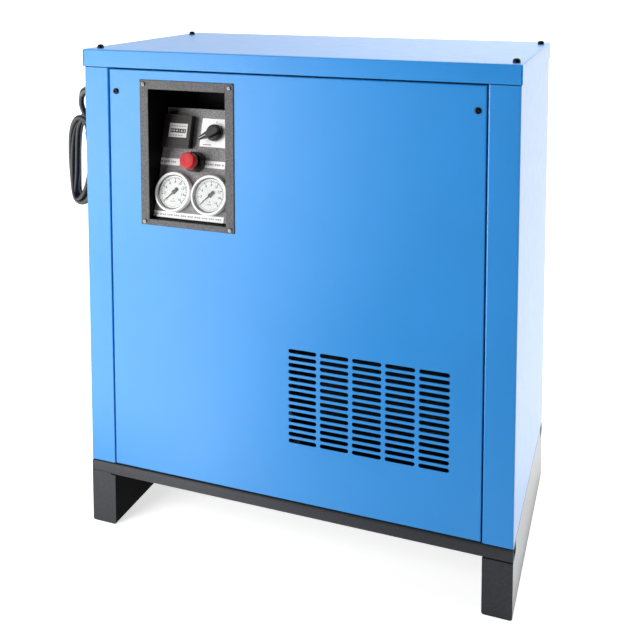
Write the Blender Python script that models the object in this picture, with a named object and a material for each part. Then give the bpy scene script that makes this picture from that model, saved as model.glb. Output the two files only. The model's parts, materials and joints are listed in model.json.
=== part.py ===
"""Refrigerated air dryer: a sheet-metal cabinet on two skids, with its refrigeration and air circuits.

The cabinet's own frame has x = 0 at mid width, y = 0 at the front panel's face and z = 0 at the floor,
with +y towards the rear. Everything hangs on one empty that puts the origin under the middle of the
whole object's box. Metres throughout.
"""

import math

import bmesh
import bpy
from mathutils import Matrix, Vector

# Driving dimensions of the cabinet
WIDTH = 0.770
DEPTH = 0.428
HEIGHT = 0.881
SHEET = 0.0015
BEND = 0.0025
GAP = 0.0003
SEAM = 0.002
LID_SKIRT = 0.031
LID_OVERHANG = 0.002
LID_SLIT = 0.0008
CORNER_RETURN = 0.0492
REAR_RETURN = 0.030
RETURN_LIP = 0.0165
PANEL_FLANGE = 0.018

# Base frame
BODY_BOTTOM = 0.1186
BASE_TOP = 0.1165
BEAM_BOTTOM = 0.0943
BEAM_DEPTH = 0.030
BASE_SHEET = 0.003
SKID_WIDTH = 0.049
SKID_CORNER = 0.004
PAN_INSET = 0.004

# Grille in the front panel and vents in the rear panel
SLOT_LENGTH = 0.050
SLOT_HEIGHT = 0.0071
SLOT_END_STEPS = 2
SLOT_PITCH_X = 0.05625
SLOT_PITCH_Z = 0.01204
GRILLE_COLUMNS = 5
GRILLE_ROWS = 14
GRILLE_X = 0.1447
GRILLE_Z = 0.30425
VENT_COLUMNS = 3
VENT_ROWS = 8
VENT_X = -0.150
VENT_Z = 0.235

# Control recess: opening, flange and folded pocket
RECESS_LEFT = -0.2554
RECESS_RIGHT = -0.1066
RECESS_BOTTOM = 0.5834
RECESS_TOP = 0.8146
RECESS_SHEET = 0.0015
RECESS_SIDE_FLANGE = 0.0152
RECESS_TOP_FLANGE = 0.0154
RECESS_BOTTOM_FLANGE = 0.0096
RECESS_CORNER = 0.004
RECESS_DEPTH = 0.115
RECESS_BACK_LOW = 0.758
RECESS_WALL_BEHIND_PLATE = 0.012
FLANGE_GROOVE = 0.0005

# Control plate: its front face rises from the recess floor and leans back
PLATE_FOOT_Y = 0.013
PLATE_TILT = math.radians(17.0)
PLATE_LENGTH = 0.1975
PLATE_SHEET = 0.002

# Controls, as (across, up the plate) from the middle of the plate's lower edge
GAUGE_LEFT_ACROSS = -0.0381
GAUGE_RIGHT_ACROSS = 0.0333
GAUGE_UP = 0.0467
GAUGE_RIM = 0.0352
GAUGE_CAN = 0.0311
GAUGE_BORE = 0.0300
NEEDLE_REACH = 0.024
NEEDLE_TAIL = 0.008
GAUGE_PROUD = 0.012
GAUGE_FLOOR = 0.0035
NEEDLE_ZERO = math.radians(225.0)
STOP_ACROSS = -0.0033
STOP_UP = 0.102
STOP_FACE = 0.039
STOP_HEAD_RADIUS = 0.0145
STOP_COLLAR_RADIUS = 0.0188
STOP_COLLAR_HEIGHT = 0.018
STOP_STEM_RADIUS = 0.0075
STOP_TRAVEL = 0.005
METER_ACROSS = -0.0410
METER_UP = 0.154
METER_WIDTH = 0.057
METER_HEIGHT = 0.059
METER_PROUD = 0.015
METER_CAN = 0.045
SWITCH_ACROSS = 0.0274
SWITCH_UP = 0.1557
SWITCH_PLATE = 0.049
SWITCH_LEVER_ANGLE = math.radians(29.0)

# Panel locks and screws
LOCK_X = 0.320
LOCK_Z = 0.8076
LOCK_HEAD_RADIUS = 0.0053
LOCK_HEAD_HEIGHT = 0.0033
LOCK_SHANK = 0.0028
BEZEL_SCREW_HEAD_RADIUS = 0.0038
BEZEL_SCREW_HEAD_HEIGHT = 0.0022
BEZEL_SCREW_SHANK = 0.0018
BEZEL_SCREW_INSET = 0.0068
BEZEL_SCREW_BOTTOM_INSET = 0.0052
LID_SCREW_HEAD_RADIUS = 0.0061
LID_SCREW_HEAD_HEIGHT = 0.0060
LID_SCREW_SHANK = 0.0025
LID_SCREW_LEFT_X = -0.367
LID_SCREW_RIGHT_X = 0.374
LID_SCREW_FRONT_Y = 0.025
LID_SCREW_REAR_Y = 0.375

# Power cable, hung in a loop on the left side
CABLE_RADIUS = 0.0055
GLAND_HOLE = 0.0105
GLAND_Y = 0.050
GLAND_Z = 0.800
BUNDLE_RADIUS = 0.016
LOOP_REACH = 0.084
LOOP_CLEARANCE = 0.003
LOOP_Y = 0.066
LOOP_Z = 0.6665
LOOP_HALF_HEIGHT = 0.0835

# Refrigeration and air circuits
FAN_X = 0.150
FAN_Z = 0.285
FAN_RADIUS = 0.097
FAN_BLADES = 5
CONDENSER_HALF_WIDTH = 0.140
CONDENSER_HALF_HEIGHT = 0.120
CONDENSER_Y = (0.045, 0.080)
COMPRESSOR_X = -0.165
COMPRESSOR_Y = 0.245
COMPRESSOR_RADIUS = 0.085
EXCHANGER_LOW = (0.030, 0.220, 0.470)
EXCHANGER_HIGH = (0.270, 0.360, 0.800)
SEPARATOR_X = -0.030
SEPARATOR_Y = 0.300
DRAIN_Z = 0.397
AIR_PORT_Z = 0.745
AIR_INLET_X = 0.205
AIR_OUTLET_X = 0.095
AIR_PIPE_RADIUS = 0.0135
AIR_PORT_PROUD = 0.030
DRAIN_OUTLET_Z = 0.160
DRIER_RADIUS = 0.018
DRIER_BOTTOM = 0.200
DRIER_TOP = 0.320
MOUNT_UNDERSIDE = 0.1415
DRIER_X = -0.020
DRIER_Y = 0.120

# The origin lies under the middle of the whole object's box
BOX_LEFT = -WIDTH / 2 - LOOP_REACH
BOX_RIGHT = WIDTH / 2 + LID_OVERHANG
BOX_FRONT = -(2 * GAP + RECESS_SHEET + BEZEL_SCREW_HEAD_HEIGHT)
BOX_REAR = DEPTH + AIR_PORT_PROUD


# ---------------------------------------------------------------- modelling helpers


def clear_scene():
    for obj in list(bpy.data.objects):
        bpy.data.objects.remove(obj, do_unlink=True)


def finish(name, colour, roughness, metallic=0.0):
    """A plain material: colour is linear RGB."""
    material = bpy.data.materials.new(name)
    material.use_nodes = True
    shader = material.node_tree.nodes["Principled BSDF"]
    shader.inputs["Base Color"].default_value = (*colour, 1.0)
    shader.inputs["Roughness"].default_value = roughness
    shader.inputs["Metallic"].default_value = metallic
    return material


def empty(name, place, turn=(0, 0, 0), parent=None):
    obj = bpy.data.objects.new(name, None)
    bpy.context.scene.collection.objects.link(obj)
    obj.location = place
    obj.rotation_euler = turn
    obj.parent = parent
    return obj


def solid(name, bm, material, parent, place=(0, 0, 0), turn=(0, 0, 0)):
    """A named part from a closed bmesh, smooth except across its sharp edges."""
    bmesh.ops.recalc_face_normals(bm, faces=bm.faces)
    mesh = bpy.data.meshes.new(name)
    bm.to_mesh(mesh)
    bm.free()
    mesh.materials.append(material)
    mesh.shade_smooth()
    mesh.set_sharp_from_angle(angle=math.radians(30))
    obj = bpy.data.objects.new(name, mesh)
    bpy.context.scene.collection.objects.link(obj)
    obj.parent = parent
    obj.location = place
    obj.rotation_euler = turn
    return obj


def combine(obj, bm, operation="DIFFERENCE", place=(0, 0, 0), turn=(0, 0, 0)):
    """Cuts a helper shape from the part, or joins it to the part."""
    helper = solid(f"{obj.name}.{operation.lower()}", bm, obj.data.materials[0], obj.parent, place, turn)
    helper.hide_render = True
    helper.display_type = "WIRE"
    modifier = obj.modifiers.new(helper.name, "BOOLEAN")
    modifier.operation = operation
    modifier.object = helper


def block(low, high, bm=None):
    bm = bm or bmesh.new()
    low, high = Vector(low), Vector(high)
    spread = Matrix.Diagonal((*(high - low), 1))
    bmesh.ops.create_cube(bm, size=1, matrix=Matrix.Translation((low + high) / 2) @ spread)
    return bm


AXES = {
    "X": lambda u, v, w: (w, u, v),
    "Y": lambda u, v, w: (u, w, v),
    "Z": lambda u, v, w: (u, v, w),
}


def prism(outline, low, high, axis="Z", bm=None):
    """A closed outline in the plane across an axis, swept along it from low to high."""
    bm = bm or bmesh.new()
    ends = [[bm.verts.new(AXES[axis](u, v, w)) for u, v in outline] for w in (low, high)]
    for ring in ends:
        bm.faces.new(ring)
    for i in range(len(outline)):
        j = (i + 1) % len(outline)
        bm.faces.new((ends[0][i], ends[0][j], ends[1][j], ends[1][i]))
    return bm


def turned(profile, segments=32, ring=False, bm=None):
    """(radius, height) points revolved round Z. A ring's profile closes on itself; others end on the axis."""
    bm = bm or bmesh.new()
    rows = []
    for radius, height in profile:
        if radius == 0:
            rows.append([bm.verts.new((0, 0, height))] * segments)
            continue
        angles = (math.tau * i / segments for i in range(segments))
        rows.append([bm.verts.new((radius * math.cos(a), radius * math.sin(a), height)) for a in angles])
    pairs = list(zip(rows, rows[1:]))
    if ring:
        pairs.append((rows[-1], rows[0]))
    for lower, upper in pairs:
        for i in range(segments):
            j = (i + 1) % segments
            corners = dict.fromkeys((lower[i], lower[j], upper[j], upper[i]))
            bm.faces.new(tuple(corners))
    return bm


def moved(bm, place=(0, 0, 0), turn=None):
    """The whole bmesh turned by a matrix, then moved."""
    bmesh.ops.transform(bm, matrix=Matrix.Translation(place) @ (turn or Matrix()), verts=bm.verts)
    return bm


TO_REAR = Matrix.Rotation(-math.pi / 2, 4, "X")  # takes +Z to +Y
TO_RIGHT = Matrix.Rotation(math.pi / 2, 4, "Y")  # takes +Z to +X


def arc(centre, radius, start, end, steps):
    """Points on a circle from start to end, in degrees, both ends included."""
    angles = (math.radians(start + (end - start) * i / steps) for i in range(steps + 1))
    return [(centre[0] + radius * math.cos(a), centre[1] + radius * math.sin(a)) for a in angles]


def rounded_rectangle(low, high, radius, steps=3):
    return (
        arc((high[0] - radius, high[1] - radius), radius, 0, 90, steps)
        + arc((low[0] + radius, high[1] - radius), radius, 90, 180, steps)
        + arc((low[0] + radius, low[1] + radius), radius, 180, 270, steps)
        + arc((high[0] - radius, low[1] + radius), radius, 270, 360, steps)
    )


def polygon(sides, radius, start=0.0):
    return [
        (radius * math.cos(start + math.tau * i / sides), radius * math.sin(start + math.tau * i / sides))
        for i in range(sides)
    ]


def folded_outline(path, thickness, bend, steps=2):
    """The closed outline of a sheet folded along a path that always bends to the right, its inner side."""
    path = [Vector(p) for p in path]
    headings = [(b - a).normalized() for a, b in zip(path, path[1:])]
    outer = [(path[0], headings[0])]
    for corner, before, after in zip(path[1:], headings, headings[1:]):
        right = Vector((before.y, -before.x))
        centre = corner - before * bend + right * bend
        for i in range(steps + 1):
            swing = math.pi / 2 * i / steps
            heading = before * math.cos(swing) + after * math.sin(swing)
            outer.append((centre + Vector((-heading.y, heading.x)) * bend, heading))
    outer.append((path[-1], headings[-1]))
    inner = [point + Vector((heading.y, -heading.x)) * thickness for point, heading in outer]
    return [point for point, _ in outer] + inner[::-1]


def tray(name, low, high, open_direction, material, parent):
    """A shallow folded tray: a face with four flanges, open towards open_direction."""
    bm = block(low, high)
    open_direction = Vector(open_direction)
    faces = {face: face.normal.dot(open_direction) for face in bm.faces}
    opening = [face for face, lean in faces.items() if lean > 0.5]
    back = next(face for face, lean in faces.items() if lean < -0.5)
    folds = list(back.edges)
    bmesh.ops.delete(bm, geom=opening, context="FACES_ONLY")
    bmesh.ops.bevel(bm, geom=folds, offset=BEND, segments=2, profile=0.5, affect="EDGES")
    obj = solid(name, bm, material, parent)
    thickness = obj.modifiers.new("sheet", "SOLIDIFY")
    thickness.thickness = SHEET
    thickness.offset = -1
    thickness.use_even_offset = True
    return obj


def tube(name, points, radius, material, parent, swell=None, resolution=2):
    """A round rod along a smooth curve through points; swell gives each point's share of the radius."""
    curve = bpy.data.curves.new(name, "CURVE")
    curve.dimensions = "3D"
    curve.bevel_depth = radius
    curve.bevel_resolution = resolution
    curve.use_fill_caps = True
    curve.resolution_u = 3
    spline = curve.splines.new("BEZIER")
    spline.bezier_points.add(len(points) - 1)
    for i, (knot, point) in enumerate(zip(spline.bezier_points, points)):
        knot.co = point
        knot.handle_left_type = knot.handle_right_type = "AUTO"
        knot.radius = swell[i] if swell else 1.0
    curve.materials.append(material)
    obj = bpy.data.objects.new(name, curve)
    bpy.context.scene.collection.objects.link(obj)
    obj.parent = parent
    return obj


def slot_field(columns, rows, centre_x, centre_z, low, high):
    """Slots with rounded ends, through a sheet that lies across Y."""
    bm = bmesh.new()
    straight = SLOT_LENGTH / 2 - SLOT_HEIGHT / 2
    for column in range(columns):
        x = centre_x + (column - (columns - 1) / 2) * SLOT_PITCH_X
        for row in range(rows):
            z = centre_z + (row - (rows - 1) / 2) * SLOT_PITCH_Z
            outline = arc((x + straight, z), SLOT_HEIGHT / 2, -90, 90, SLOT_END_STEPS)
            outline += arc((x - straight, z), SLOT_HEIGHT / 2, 90, 270, SLOT_END_STEPS)
            prism(outline, low, high, "Y", bm)
    return bm


def button_screw(head_radius, head_height, shank_radius, shank_length, segments=12):
    """A dome-head screw: head up +Z from z = 0, shank down."""
    return turned(
        [
            (0, -shank_length),
            (shank_radius, -shank_length),
            (shank_radius, 0),
            (head_radius, 0),
            (head_radius * 0.96, head_height * 0.45),
            (head_radius * 0.62, head_height),
            (0, head_height),
        ],
        segments,
    )


# ---------------------------------------------------------------- finishes

clear_scene()
BLUE = finish("blue_powder_coat", (0.060, 0.300, 0.730), 0.35)
CHARCOAL = finish("charcoal_powder_coat", (0.045, 0.045, 0.050), 0.50)
DARK_GREY = finish("grey_textured_coat", (0.130, 0.130, 0.135), 0.60)
BLACK_PLASTIC = finish("black_plastic", (0.015, 0.015, 0.016), 0.40)
BROWN_BLACK = finish("meter_plastic", (0.030, 0.024, 0.022), 0.45)
RED_PLASTIC = finish("red_plastic", (0.720, 0.010, 0.020), 0.30)
WHITE_SHEET = finish("white_anodised_sheet", (0.780, 0.780, 0.780), 0.45)
BRIGHT_RING = finish("bright_ring", (0.820, 0.820, 0.800), 0.25, 0.6)
DIAL_WHITE = finish("dial_white", (0.850, 0.850, 0.830), 0.50)
LENS = finish("clear_lens", (0.900, 0.900, 0.900), 0.05)
STEEL = finish("zinc_plated_steel", (0.600, 0.600, 0.620), 0.30, 1.0)
BLACK_STEEL = finish("blackened_steel", (0.020, 0.020, 0.020), 0.40, 0.6)
COPPER = finish("copper", (0.720, 0.330, 0.200), 0.30, 1.0)
ALUMINIUM = finish("aluminium_fins", (0.700, 0.710, 0.720), 0.40, 1.0)
BRASS = finish("brass", (0.700, 0.500, 0.200), 0.35, 1.0)
BLACK_ENAMEL = finish("compressor_enamel", (0.012, 0.012, 0.014), 0.30)
FOAM = finish("black_foam", (0.030, 0.030, 0.032), 0.90)
RUBBER = finish("cable_rubber", (0.014, 0.014, 0.015), 0.55)
GREY_BOX = finish("grey_enclosure", (0.480, 0.490, 0.490), 0.50)
CLEAR_HOSE = finish("drain_hose", (0.300, 0.420, 0.520), 0.35)

LID_BOTTOM = HEIGHT - LID_SKIRT
PANEL_TOP = LID_BOTTOM - SEAM
HALF = WIDTH / 2
cabinet = empty("cabinet_frame", (-(BOX_LEFT + BOX_RIGHT) / 2, -(BOX_FRONT + BOX_REAR) / 2, 0))


# ---------------------------------------------------------------- base frame


def base_skid(name, side):
    """A folded box along the depth, open on top, with room at both ends for the beams."""
    outer_x = side * HALF
    inner_x = side * (HALF - SKID_WIDTH)
    low_x, high_x = min(outer_x, inner_x), max(outer_x, inner_x)
    r = SKID_CORNER
    outline = [(high_x, BASE_TOP), (low_x, BASE_TOP)]
    outline += arc((low_x + r, r), r, 180, 270, 3)
    outline += arc((high_x - r, r), r, 270, 360, 3)
    skid = solid(name, prism(outline, 0, DEPTH, "Y"), CHARCOAL, cabinet)
    t = BASE_SHEET
    combine(skid, block((low_x + t, t, t), (high_x - t, DEPTH - t, BASE_TOP + t)))
    notches = block((low_x - t, -t, BEAM_BOTTOM - GAP), (high_x + t, BEAM_DEPTH + GAP, BASE_TOP + t))
    rear = DEPTH - BEAM_DEPTH - GAP
    block((low_x - t, rear, BEAM_BOTTOM - GAP), (high_x + t, DEPTH + t, BASE_TOP + t), notches)
    combine(skid, notches)


def base_beam(name, face_y, inward):
    """A folded channel across the width, its open side towards the middle of the base."""
    back = face_y + inward * BEAM_DEPTH
    path = [(back, BEAM_BOTTOM), (face_y, BEAM_BOTTOM), (face_y, BASE_TOP), (back, BASE_TOP)]
    outline = folded_outline(path if inward > 0 else path[::-1], BASE_SHEET, BASE_SHEET + 0.001)
    solid(name, prism(outline, -HALF, HALF, "X"), CHARCOAL, cabinet)


def base_pan():
    low = (-HALF + PAN_INSET, PAN_INSET, BASE_TOP + GAP)
    high = (HALF - PAN_INSET, DEPTH - PAN_INSET, BODY_BOTTOM - GAP)
    solid("base_pan", block(low, high), CHARCOAL, cabinet)


base_skid("skid_left", -1)
base_skid("skid_right", 1)
base_beam("base_front_beam", 0, 1)
base_beam("base_rear_beam", DEPTH, -1)
base_pan()


# ---------------------------------------------------------------- cabinet shell


def side_panel(name, side):
    """One sheet folded round the front and rear corners, with a lip behind each seam."""
    front_x = HALF - CORNER_RETURN
    rear_x = HALF - REAR_RETURN
    path = [
        (-front_x, RETURN_LIP),
        (-front_x, 0),
        (-HALF, 0),
        (-HALF, DEPTH),
        (-rear_x, DEPTH),
        (-rear_x, DEPTH - RETURN_LIP),
    ]
    outline = [(-side * x, y) for x, y in folded_outline(path, SHEET, BEND)]
    top = HEIGHT - SHEET - BEND
    return solid(name, prism(outline, BODY_BOTTOM, top), BLUE, cabinet)


def top_lid():
    low = (-HALF - LID_OVERHANG, -LID_OVERHANG, LID_BOTTOM)
    high = (HALF + LID_OVERHANG, DEPTH + LID_OVERHANG, HEIGHT)
    lid = tray("top_lid", low, high, (0, 0, -1), BLUE, cabinet)
    slits = bmesh.new()
    outer_slit = HALF + LID_OVERHANG - SHEET
    for side in (-1, 1):
        for y in (-LID_OVERHANG, DEPTH + LID_OVERHANG):
            xs = sorted((side * outer_slit, side * (outer_slit - LID_SLIT)))
            low = (xs[0], y - SHEET * 1.2, LID_BOTTOM - SHEET)
            block(low, (xs[1], y + SHEET * 1.2, HEIGHT - BEND), slits)
    combine(lid, slits)
    holes = bmesh.new()
    for x in (LID_SCREW_LEFT_X, LID_SCREW_RIGHT_X):
        for y in (LID_SCREW_FRONT_Y, LID_SCREW_REAR_Y):
            hole = [(x + u, y + v) for u, v in polygon(12, LID_SCREW_SHANK + GAP)]
            prism(hole, HEIGHT - 2 * SHEET, HEIGHT + SHEET, "Z", holes)
    combine(lid, holes)


def lid_screw(name, x, y):
    screw = button_screw(LID_SCREW_HEAD_RADIUS, LID_SCREW_HEAD_HEIGHT, LID_SCREW_SHANK, 0.010)
    solid(name, screw, BLACK_STEEL, cabinet, (x, y, HEIGHT + GAP))


def rear_panel():
    low = (-HALF + REAR_RETURN + SEAM, DEPTH - PANEL_FLANGE, BODY_BOTTOM + GAP)
    high = (HALF - REAR_RETURN - SEAM, DEPTH, PANEL_TOP)
    panel = tray("rear_panel", low, high, (0, -1, 0), BLUE, cabinet)
    openings = slot_field(VENT_COLUMNS, VENT_ROWS, VENT_X, VENT_Z, DEPTH - 3 * SHEET, DEPTH + SHEET)
    ports = (
        (AIR_INLET_X, AIR_PORT_Z, AIR_PIPE_RADIUS + 2 * GAP),
        (AIR_OUTLET_X, AIR_PORT_Z, AIR_PIPE_RADIUS + 2 * GAP),
        (SEPARATOR_X, DRAIN_OUTLET_Z, 0.008),
    )
    for x, z, radius in ports:
        hole = [(x + u, z + v) for u, v in polygon(24, radius)]
        prism(hole, DEPTH - 3 * SHEET, DEPTH + SHEET, "Y", openings)
    combine(panel, openings)


left_side = side_panel("side_panel_left", -1)
gland_hole = turned([(0, -0.01), (GLAND_HOLE, -0.01), (GLAND_HOLE, 0.01), (0, 0.01)], 16)
combine(left_side, moved(gland_hole, (-HALF, GLAND_Y, GLAND_Z), TO_RIGHT))
side_panel("side_panel_right", 1)
rear_panel()
top_lid()
lid_screw("lid_screw_front_left", LID_SCREW_LEFT_X, LID_SCREW_FRONT_Y)
lid_screw("lid_screw_front_right", LID_SCREW_RIGHT_X, LID_SCREW_FRONT_Y)
lid_screw("lid_screw_rear_left", LID_SCREW_LEFT_X, LID_SCREW_REAR_Y)
lid_screw("lid_screw_rear_right", LID_SCREW_RIGHT_X, LID_SCREW_REAR_Y)


# ---------------------------------------------------------------- service panel and its control recess

RECESS_CENTRE = (RECESS_LEFT + RECESS_RIGHT) / 2
RECESS_HALF = (RECESS_RIGHT - RECESS_LEFT) / 2


def front_panel():
    """The service panel stands on its lower edge and leans out when both locks are open."""
    low = (-HALF + CORNER_RETURN + SEAM, 0, BODY_BOTTOM + GAP)
    high = (HALF - CORNER_RETURN - SEAM, PANEL_FLANGE, PANEL_TOP)
    panel = tray("front_panel", low, high, (0, 1, 0), BLUE, cabinet)
    openings = slot_field(GRILLE_COLUMNS, GRILLE_ROWS, GRILLE_X, GRILLE_Z, -SHEET, 3 * SHEET)
    clear = RECESS_SHEET + 2 * GAP
    block(
        (RECESS_LEFT - clear, -SHEET, RECESS_BOTTOM - clear),
        (RECESS_RIGHT + clear, 3 * SHEET, RECESS_TOP + clear),
        openings,
    )
    for x in (-LOCK_X, LOCK_X):
        hole = [(x + u, LOCK_Z + v) for u, v in polygon(12, LOCK_SHANK + GAP)]
        prism(hole, -SHEET, 3 * SHEET, "Y", openings)
    for x, z in bezel_screw_places():
        hole = [(x + u, z + v) for u, v in polygon(12, BEZEL_SCREW_SHANK + GAP)]
        prism(hole, -SHEET, 3 * SHEET, "Y", openings)
    combine(panel, openings)


def bezel_screw_places():
    inset = BEZEL_SCREW_INSET
    xs = (RECESS_LEFT - RECESS_SIDE_FLANGE + inset, RECESS_RIGHT + RECESS_SIDE_FLANGE - inset)
    low = RECESS_BOTTOM - RECESS_BOTTOM_FLANGE + BEZEL_SCREW_BOTTOM_INSET
    zs = (low, RECESS_TOP + RECESS_TOP_FLANGE - inset)
    return [(x, z) for x in xs for z in zs]


def control_recess():
    """A folded pocket: flange on the panel's face, side walls, ceiling, back and a short floor."""
    t = RECESS_SHEET
    front, back = -GAP - t, -GAP
    flange_low = (RECESS_LEFT - RECESS_SIDE_FLANGE, RECESS_BOTTOM - RECESS_BOTTOM_FLANGE)
    flange_high = (RECESS_RIGHT + RECESS_SIDE_FLANGE, RECESS_TOP + RECESS_TOP_FLANGE)
    flange = prism(rounded_rectangle(flange_low, flange_high, RECESS_CORNER), front, back, "Y")
    recess = solid("control_recess", flange, DARK_GREY, cabinet)
    lean = math.tan(PLATE_TILT)
    behind = PLATE_FOOT_Y + RECESS_WALL_BEHIND_PLATE
    wall = [
        (front + t / 2, RECESS_BOTTOM - t),
        (front + t / 2, RECESS_TOP + t),
        (RECESS_DEPTH + t, RECESS_TOP + t),
        (RECESS_DEPTH + t, RECESS_BACK_LOW),
        (behind + lean * (RECESS_BACK_LOW - RECESS_BOTTOM), RECESS_BACK_LOW),
        (behind, RECESS_BOTTOM - t),
    ]
    combine(recess, prism(wall, RECESS_LEFT - t, RECESS_RIGHT + t, "X"), "UNION")
    hollow_low = (RECESS_LEFT, front - t, RECESS_BOTTOM)
    hollow_high = (RECESS_RIGHT, RECESS_DEPTH, RECESS_TOP)
    combine(recess, block(hollow_low, hollow_high))
    cuts = bmesh.new()
    deep = front + FLANGE_GROOVE
    groove = FLANGE_GROOVE / 2
    for x in (RECESS_LEFT - groove, RECESS_RIGHT + groove):
        for low, high in ((flange_low[1] - t, RECESS_BOTTOM + t), (RECESS_TOP - t, flange_high[1] + t)):
            block((x - groove, front - t, low), (x + groove, deep, high), cuts)
    combine(recess, cuts)
    holes = bmesh.new()
    for x, z in bezel_screw_places():
        hole = [(x + u, z + v) for u, v in polygon(12, BEZEL_SCREW_SHANK + GAP)]
        prism(hole, front - t, back + t, "Y", holes)
    combine(recess, holes)


def bezel_screw(name, x, z):
    screw = button_screw(BEZEL_SCREW_HEAD_RADIUS, BEZEL_SCREW_HEAD_HEIGHT, BEZEL_SCREW_SHANK, 0.008)
    face = -2 * GAP - RECESS_SHEET
    solid(name, screw, STEEL, cabinet, (x, face, z), (math.pi / 2, 0, 0))


def panel_lock(name, x):
    """A quarter-turn stud: dome head outside, cam bar behind the sheet. Its origin is on its axis."""
    stud = button_screw(LOCK_HEAD_RADIUS, LOCK_HEAD_HEIGHT, LOCK_SHANK, 0.012)
    lock = solid(name, stud, BLACK_STEEL, cabinet, (x, -GAP, LOCK_Z), (math.pi / 2, 0, 0))
    cam = prism(rounded_rectangle((-0.008, -0.0035), (0.008, 0.0035), 0.003), -0.0135, -0.0105)
    combine(lock, cam, "UNION", lock.location, lock.rotation_euler)


front_panel()
control_recess()
corner_names = ("bottom_left", "top_left", "bottom_right", "top_right")
for corner_name, (screw_x, screw_z) in zip(corner_names, bezel_screw_places()):
    bezel_screw(f"bezel_screw_{corner_name}", screw_x, screw_z)
panel_lock("panel_lock_left", -LOCK_X)
panel_lock("panel_lock_right", LOCK_X)


# ---------------------------------------------------------------- control plate and controls

# The plate's frame: +X to the right, +Y up the slope, +Z out of the face towards the user
plate_frame = empty(
    "plate_frame",
    (RECESS_CENTRE, PLATE_FOOT_Y, RECESS_BOTTOM),
    (math.pi / 2 - PLATE_TILT, 0, 0),
    cabinet,
)


def control_plate():
    low = (-RECESS_HALF + GAP, 4 * GAP, -PLATE_SHEET)
    high = (RECESS_HALF - GAP, PLATE_LENGTH, 0)
    plate = solid("control_plate", block(low, high), DARK_GREY, plate_frame)
    cuts = bmesh.new()
    round_holes = (
        (GAUGE_LEFT_ACROSS, GAUGE_UP, GAUGE_CAN + 3 * GAP, 28),
        (GAUGE_RIGHT_ACROSS, GAUGE_UP, GAUGE_CAN + 3 * GAP, 28),
        (STOP_ACROSS, STOP_UP, 0.0110, 20),
        (SWITCH_ACROSS, SWITCH_UP, 0.0060, 12),
    )
    for x, up, radius, sides in round_holes:
        hole = [(x + u, up + v) for u, v in polygon(sides, radius)]
        prism(hole, -2 * PLATE_SHEET, PLATE_SHEET, "Z", cuts)
    half = METER_CAN / 2 + 2 * GAP
    block(
        (METER_ACROSS - half, METER_UP - half, -2 * PLATE_SHEET),
        (METER_ACROSS + half, METER_UP + half, PLATE_SHEET),
        cuts,
    )
    combine(plate, cuts)


def gauge(side_name, across):
    """A bourdon gauge pushed through the plate: case with rim, dial, needle and lens."""
    place = (across, GAUGE_UP, 0)
    case = [
        (0, -0.040),
        (0.006, -0.040),
        (0.006, -0.026),
        (GAUGE_CAN, -0.026),
        (GAUGE_CAN, GAP),
        (GAUGE_RIM, GAP),
        (GAUGE_RIM, GAUGE_PROUD - 0.002),
        (GAUGE_RIM - 0.0020, GAUGE_PROUD),
        (GAUGE_BORE + 0.0012, GAUGE_PROUD),
        (GAUGE_BORE, GAUGE_PROUD - 0.0012),
        (GAUGE_BORE, GAUGE_FLOOR),
        (0, GAUGE_FLOOR),
    ]
    solid(f"gauge_case_{side_name}", turned(case, 28), BRIGHT_RING, plate_frame, place)
    r = GAUGE_BORE - GAP
    low = GAUGE_FLOOR + GAP
    solid(f"gauge_dial_{side_name}", turned(disc(r, low, low + 0.001), 28), DIAL_WHITE, plate_frame, place)
    low = GAUGE_PROUD - 0.0035
    solid(f"gauge_lens_{side_name}", turned(disc(r, low, low + 0.0012), 28), LENS, plate_frame, place)
    low = GAUGE_FLOOR + 0.0016
    hub = turned(disc(0.0028, low, low + 0.0022), 12)
    turn = (0, 0, NEEDLE_ZERO)
    needle = solid(f"gauge_needle_{side_name}", hub, BLACK_STEEL, plate_frame, place, turn)
    upper = [(NEEDLE_REACH, 0.0002), (0.001, 0.0012), (-NEEDLE_TAIL, 0.0017)]
    pointer = upper + [(x, -y) for x, y in upper[::-1]]
    combine(needle, prism(pointer, low + 0.0008, low + 0.0015), "UNION", place, turn)


def disc(radius, low, high):
    return [(0, low), (radius, low), (radius, high), (0, high)]


def stop_button():
    """A latching stop button: collar on the plate, stem that slides, head that also twists to release."""
    place = (STOP_ACROSS, STOP_UP, 0)
    outer = polygon(8, STOP_COLLAR_RADIUS, math.pi / 8)
    collar = solid("stop_collar", prism(outer, GAP, STOP_COLLAR_HEIGHT), BLACK_PLASTIC, plate_frame, place)
    bore = STOP_STEM_RADIUS + GAP
    combine(collar, turned(disc(bore, -0.01, 2 * STOP_COLLAR_HEIGHT), 20), "DIFFERENCE", place)
    under_head = STOP_COLLAR_HEIGHT + STOP_TRAVEL + 2 * GAP
    socket = (under_head + STOP_FACE) / 2
    stem = disc(STOP_STEM_RADIUS, -0.012, socket - GAP)
    solid("stop_stem", turned(stem, 20), BLACK_PLASTIC, plate_frame, place)
    r = STOP_HEAD_RADIUS
    head = [
        (bore, under_head),
        (r - 0.0010, under_head),
        (r, under_head + 0.0015),
        (r, STOP_FACE - 0.0025),
        (r - 0.0022, STOP_FACE),
        (0, STOP_FACE),
        (0, socket),
        (bore, socket),
    ]
    solid("stop_head", closed_cup(head, 24), RED_PLASTIC, plate_frame, place)
    block_low = (-0.015, -0.022, -0.058)
    block_high = (0.015, 0.022, -0.020)
    solid("stop_contact_block", block(block_low, block_high), BLACK_PLASTIC, plate_frame, place)


def closed_cup(profile, segments):
    """A turned solid whose profile meets the axis twice, at two of its inner points."""
    poles = [i for i, (radius, _) in enumerate(profile) if radius == 0]
    start = poles[1]
    around = profile[start:] + profile[: poles[0] + 1]
    return turned(around, segments)


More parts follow.
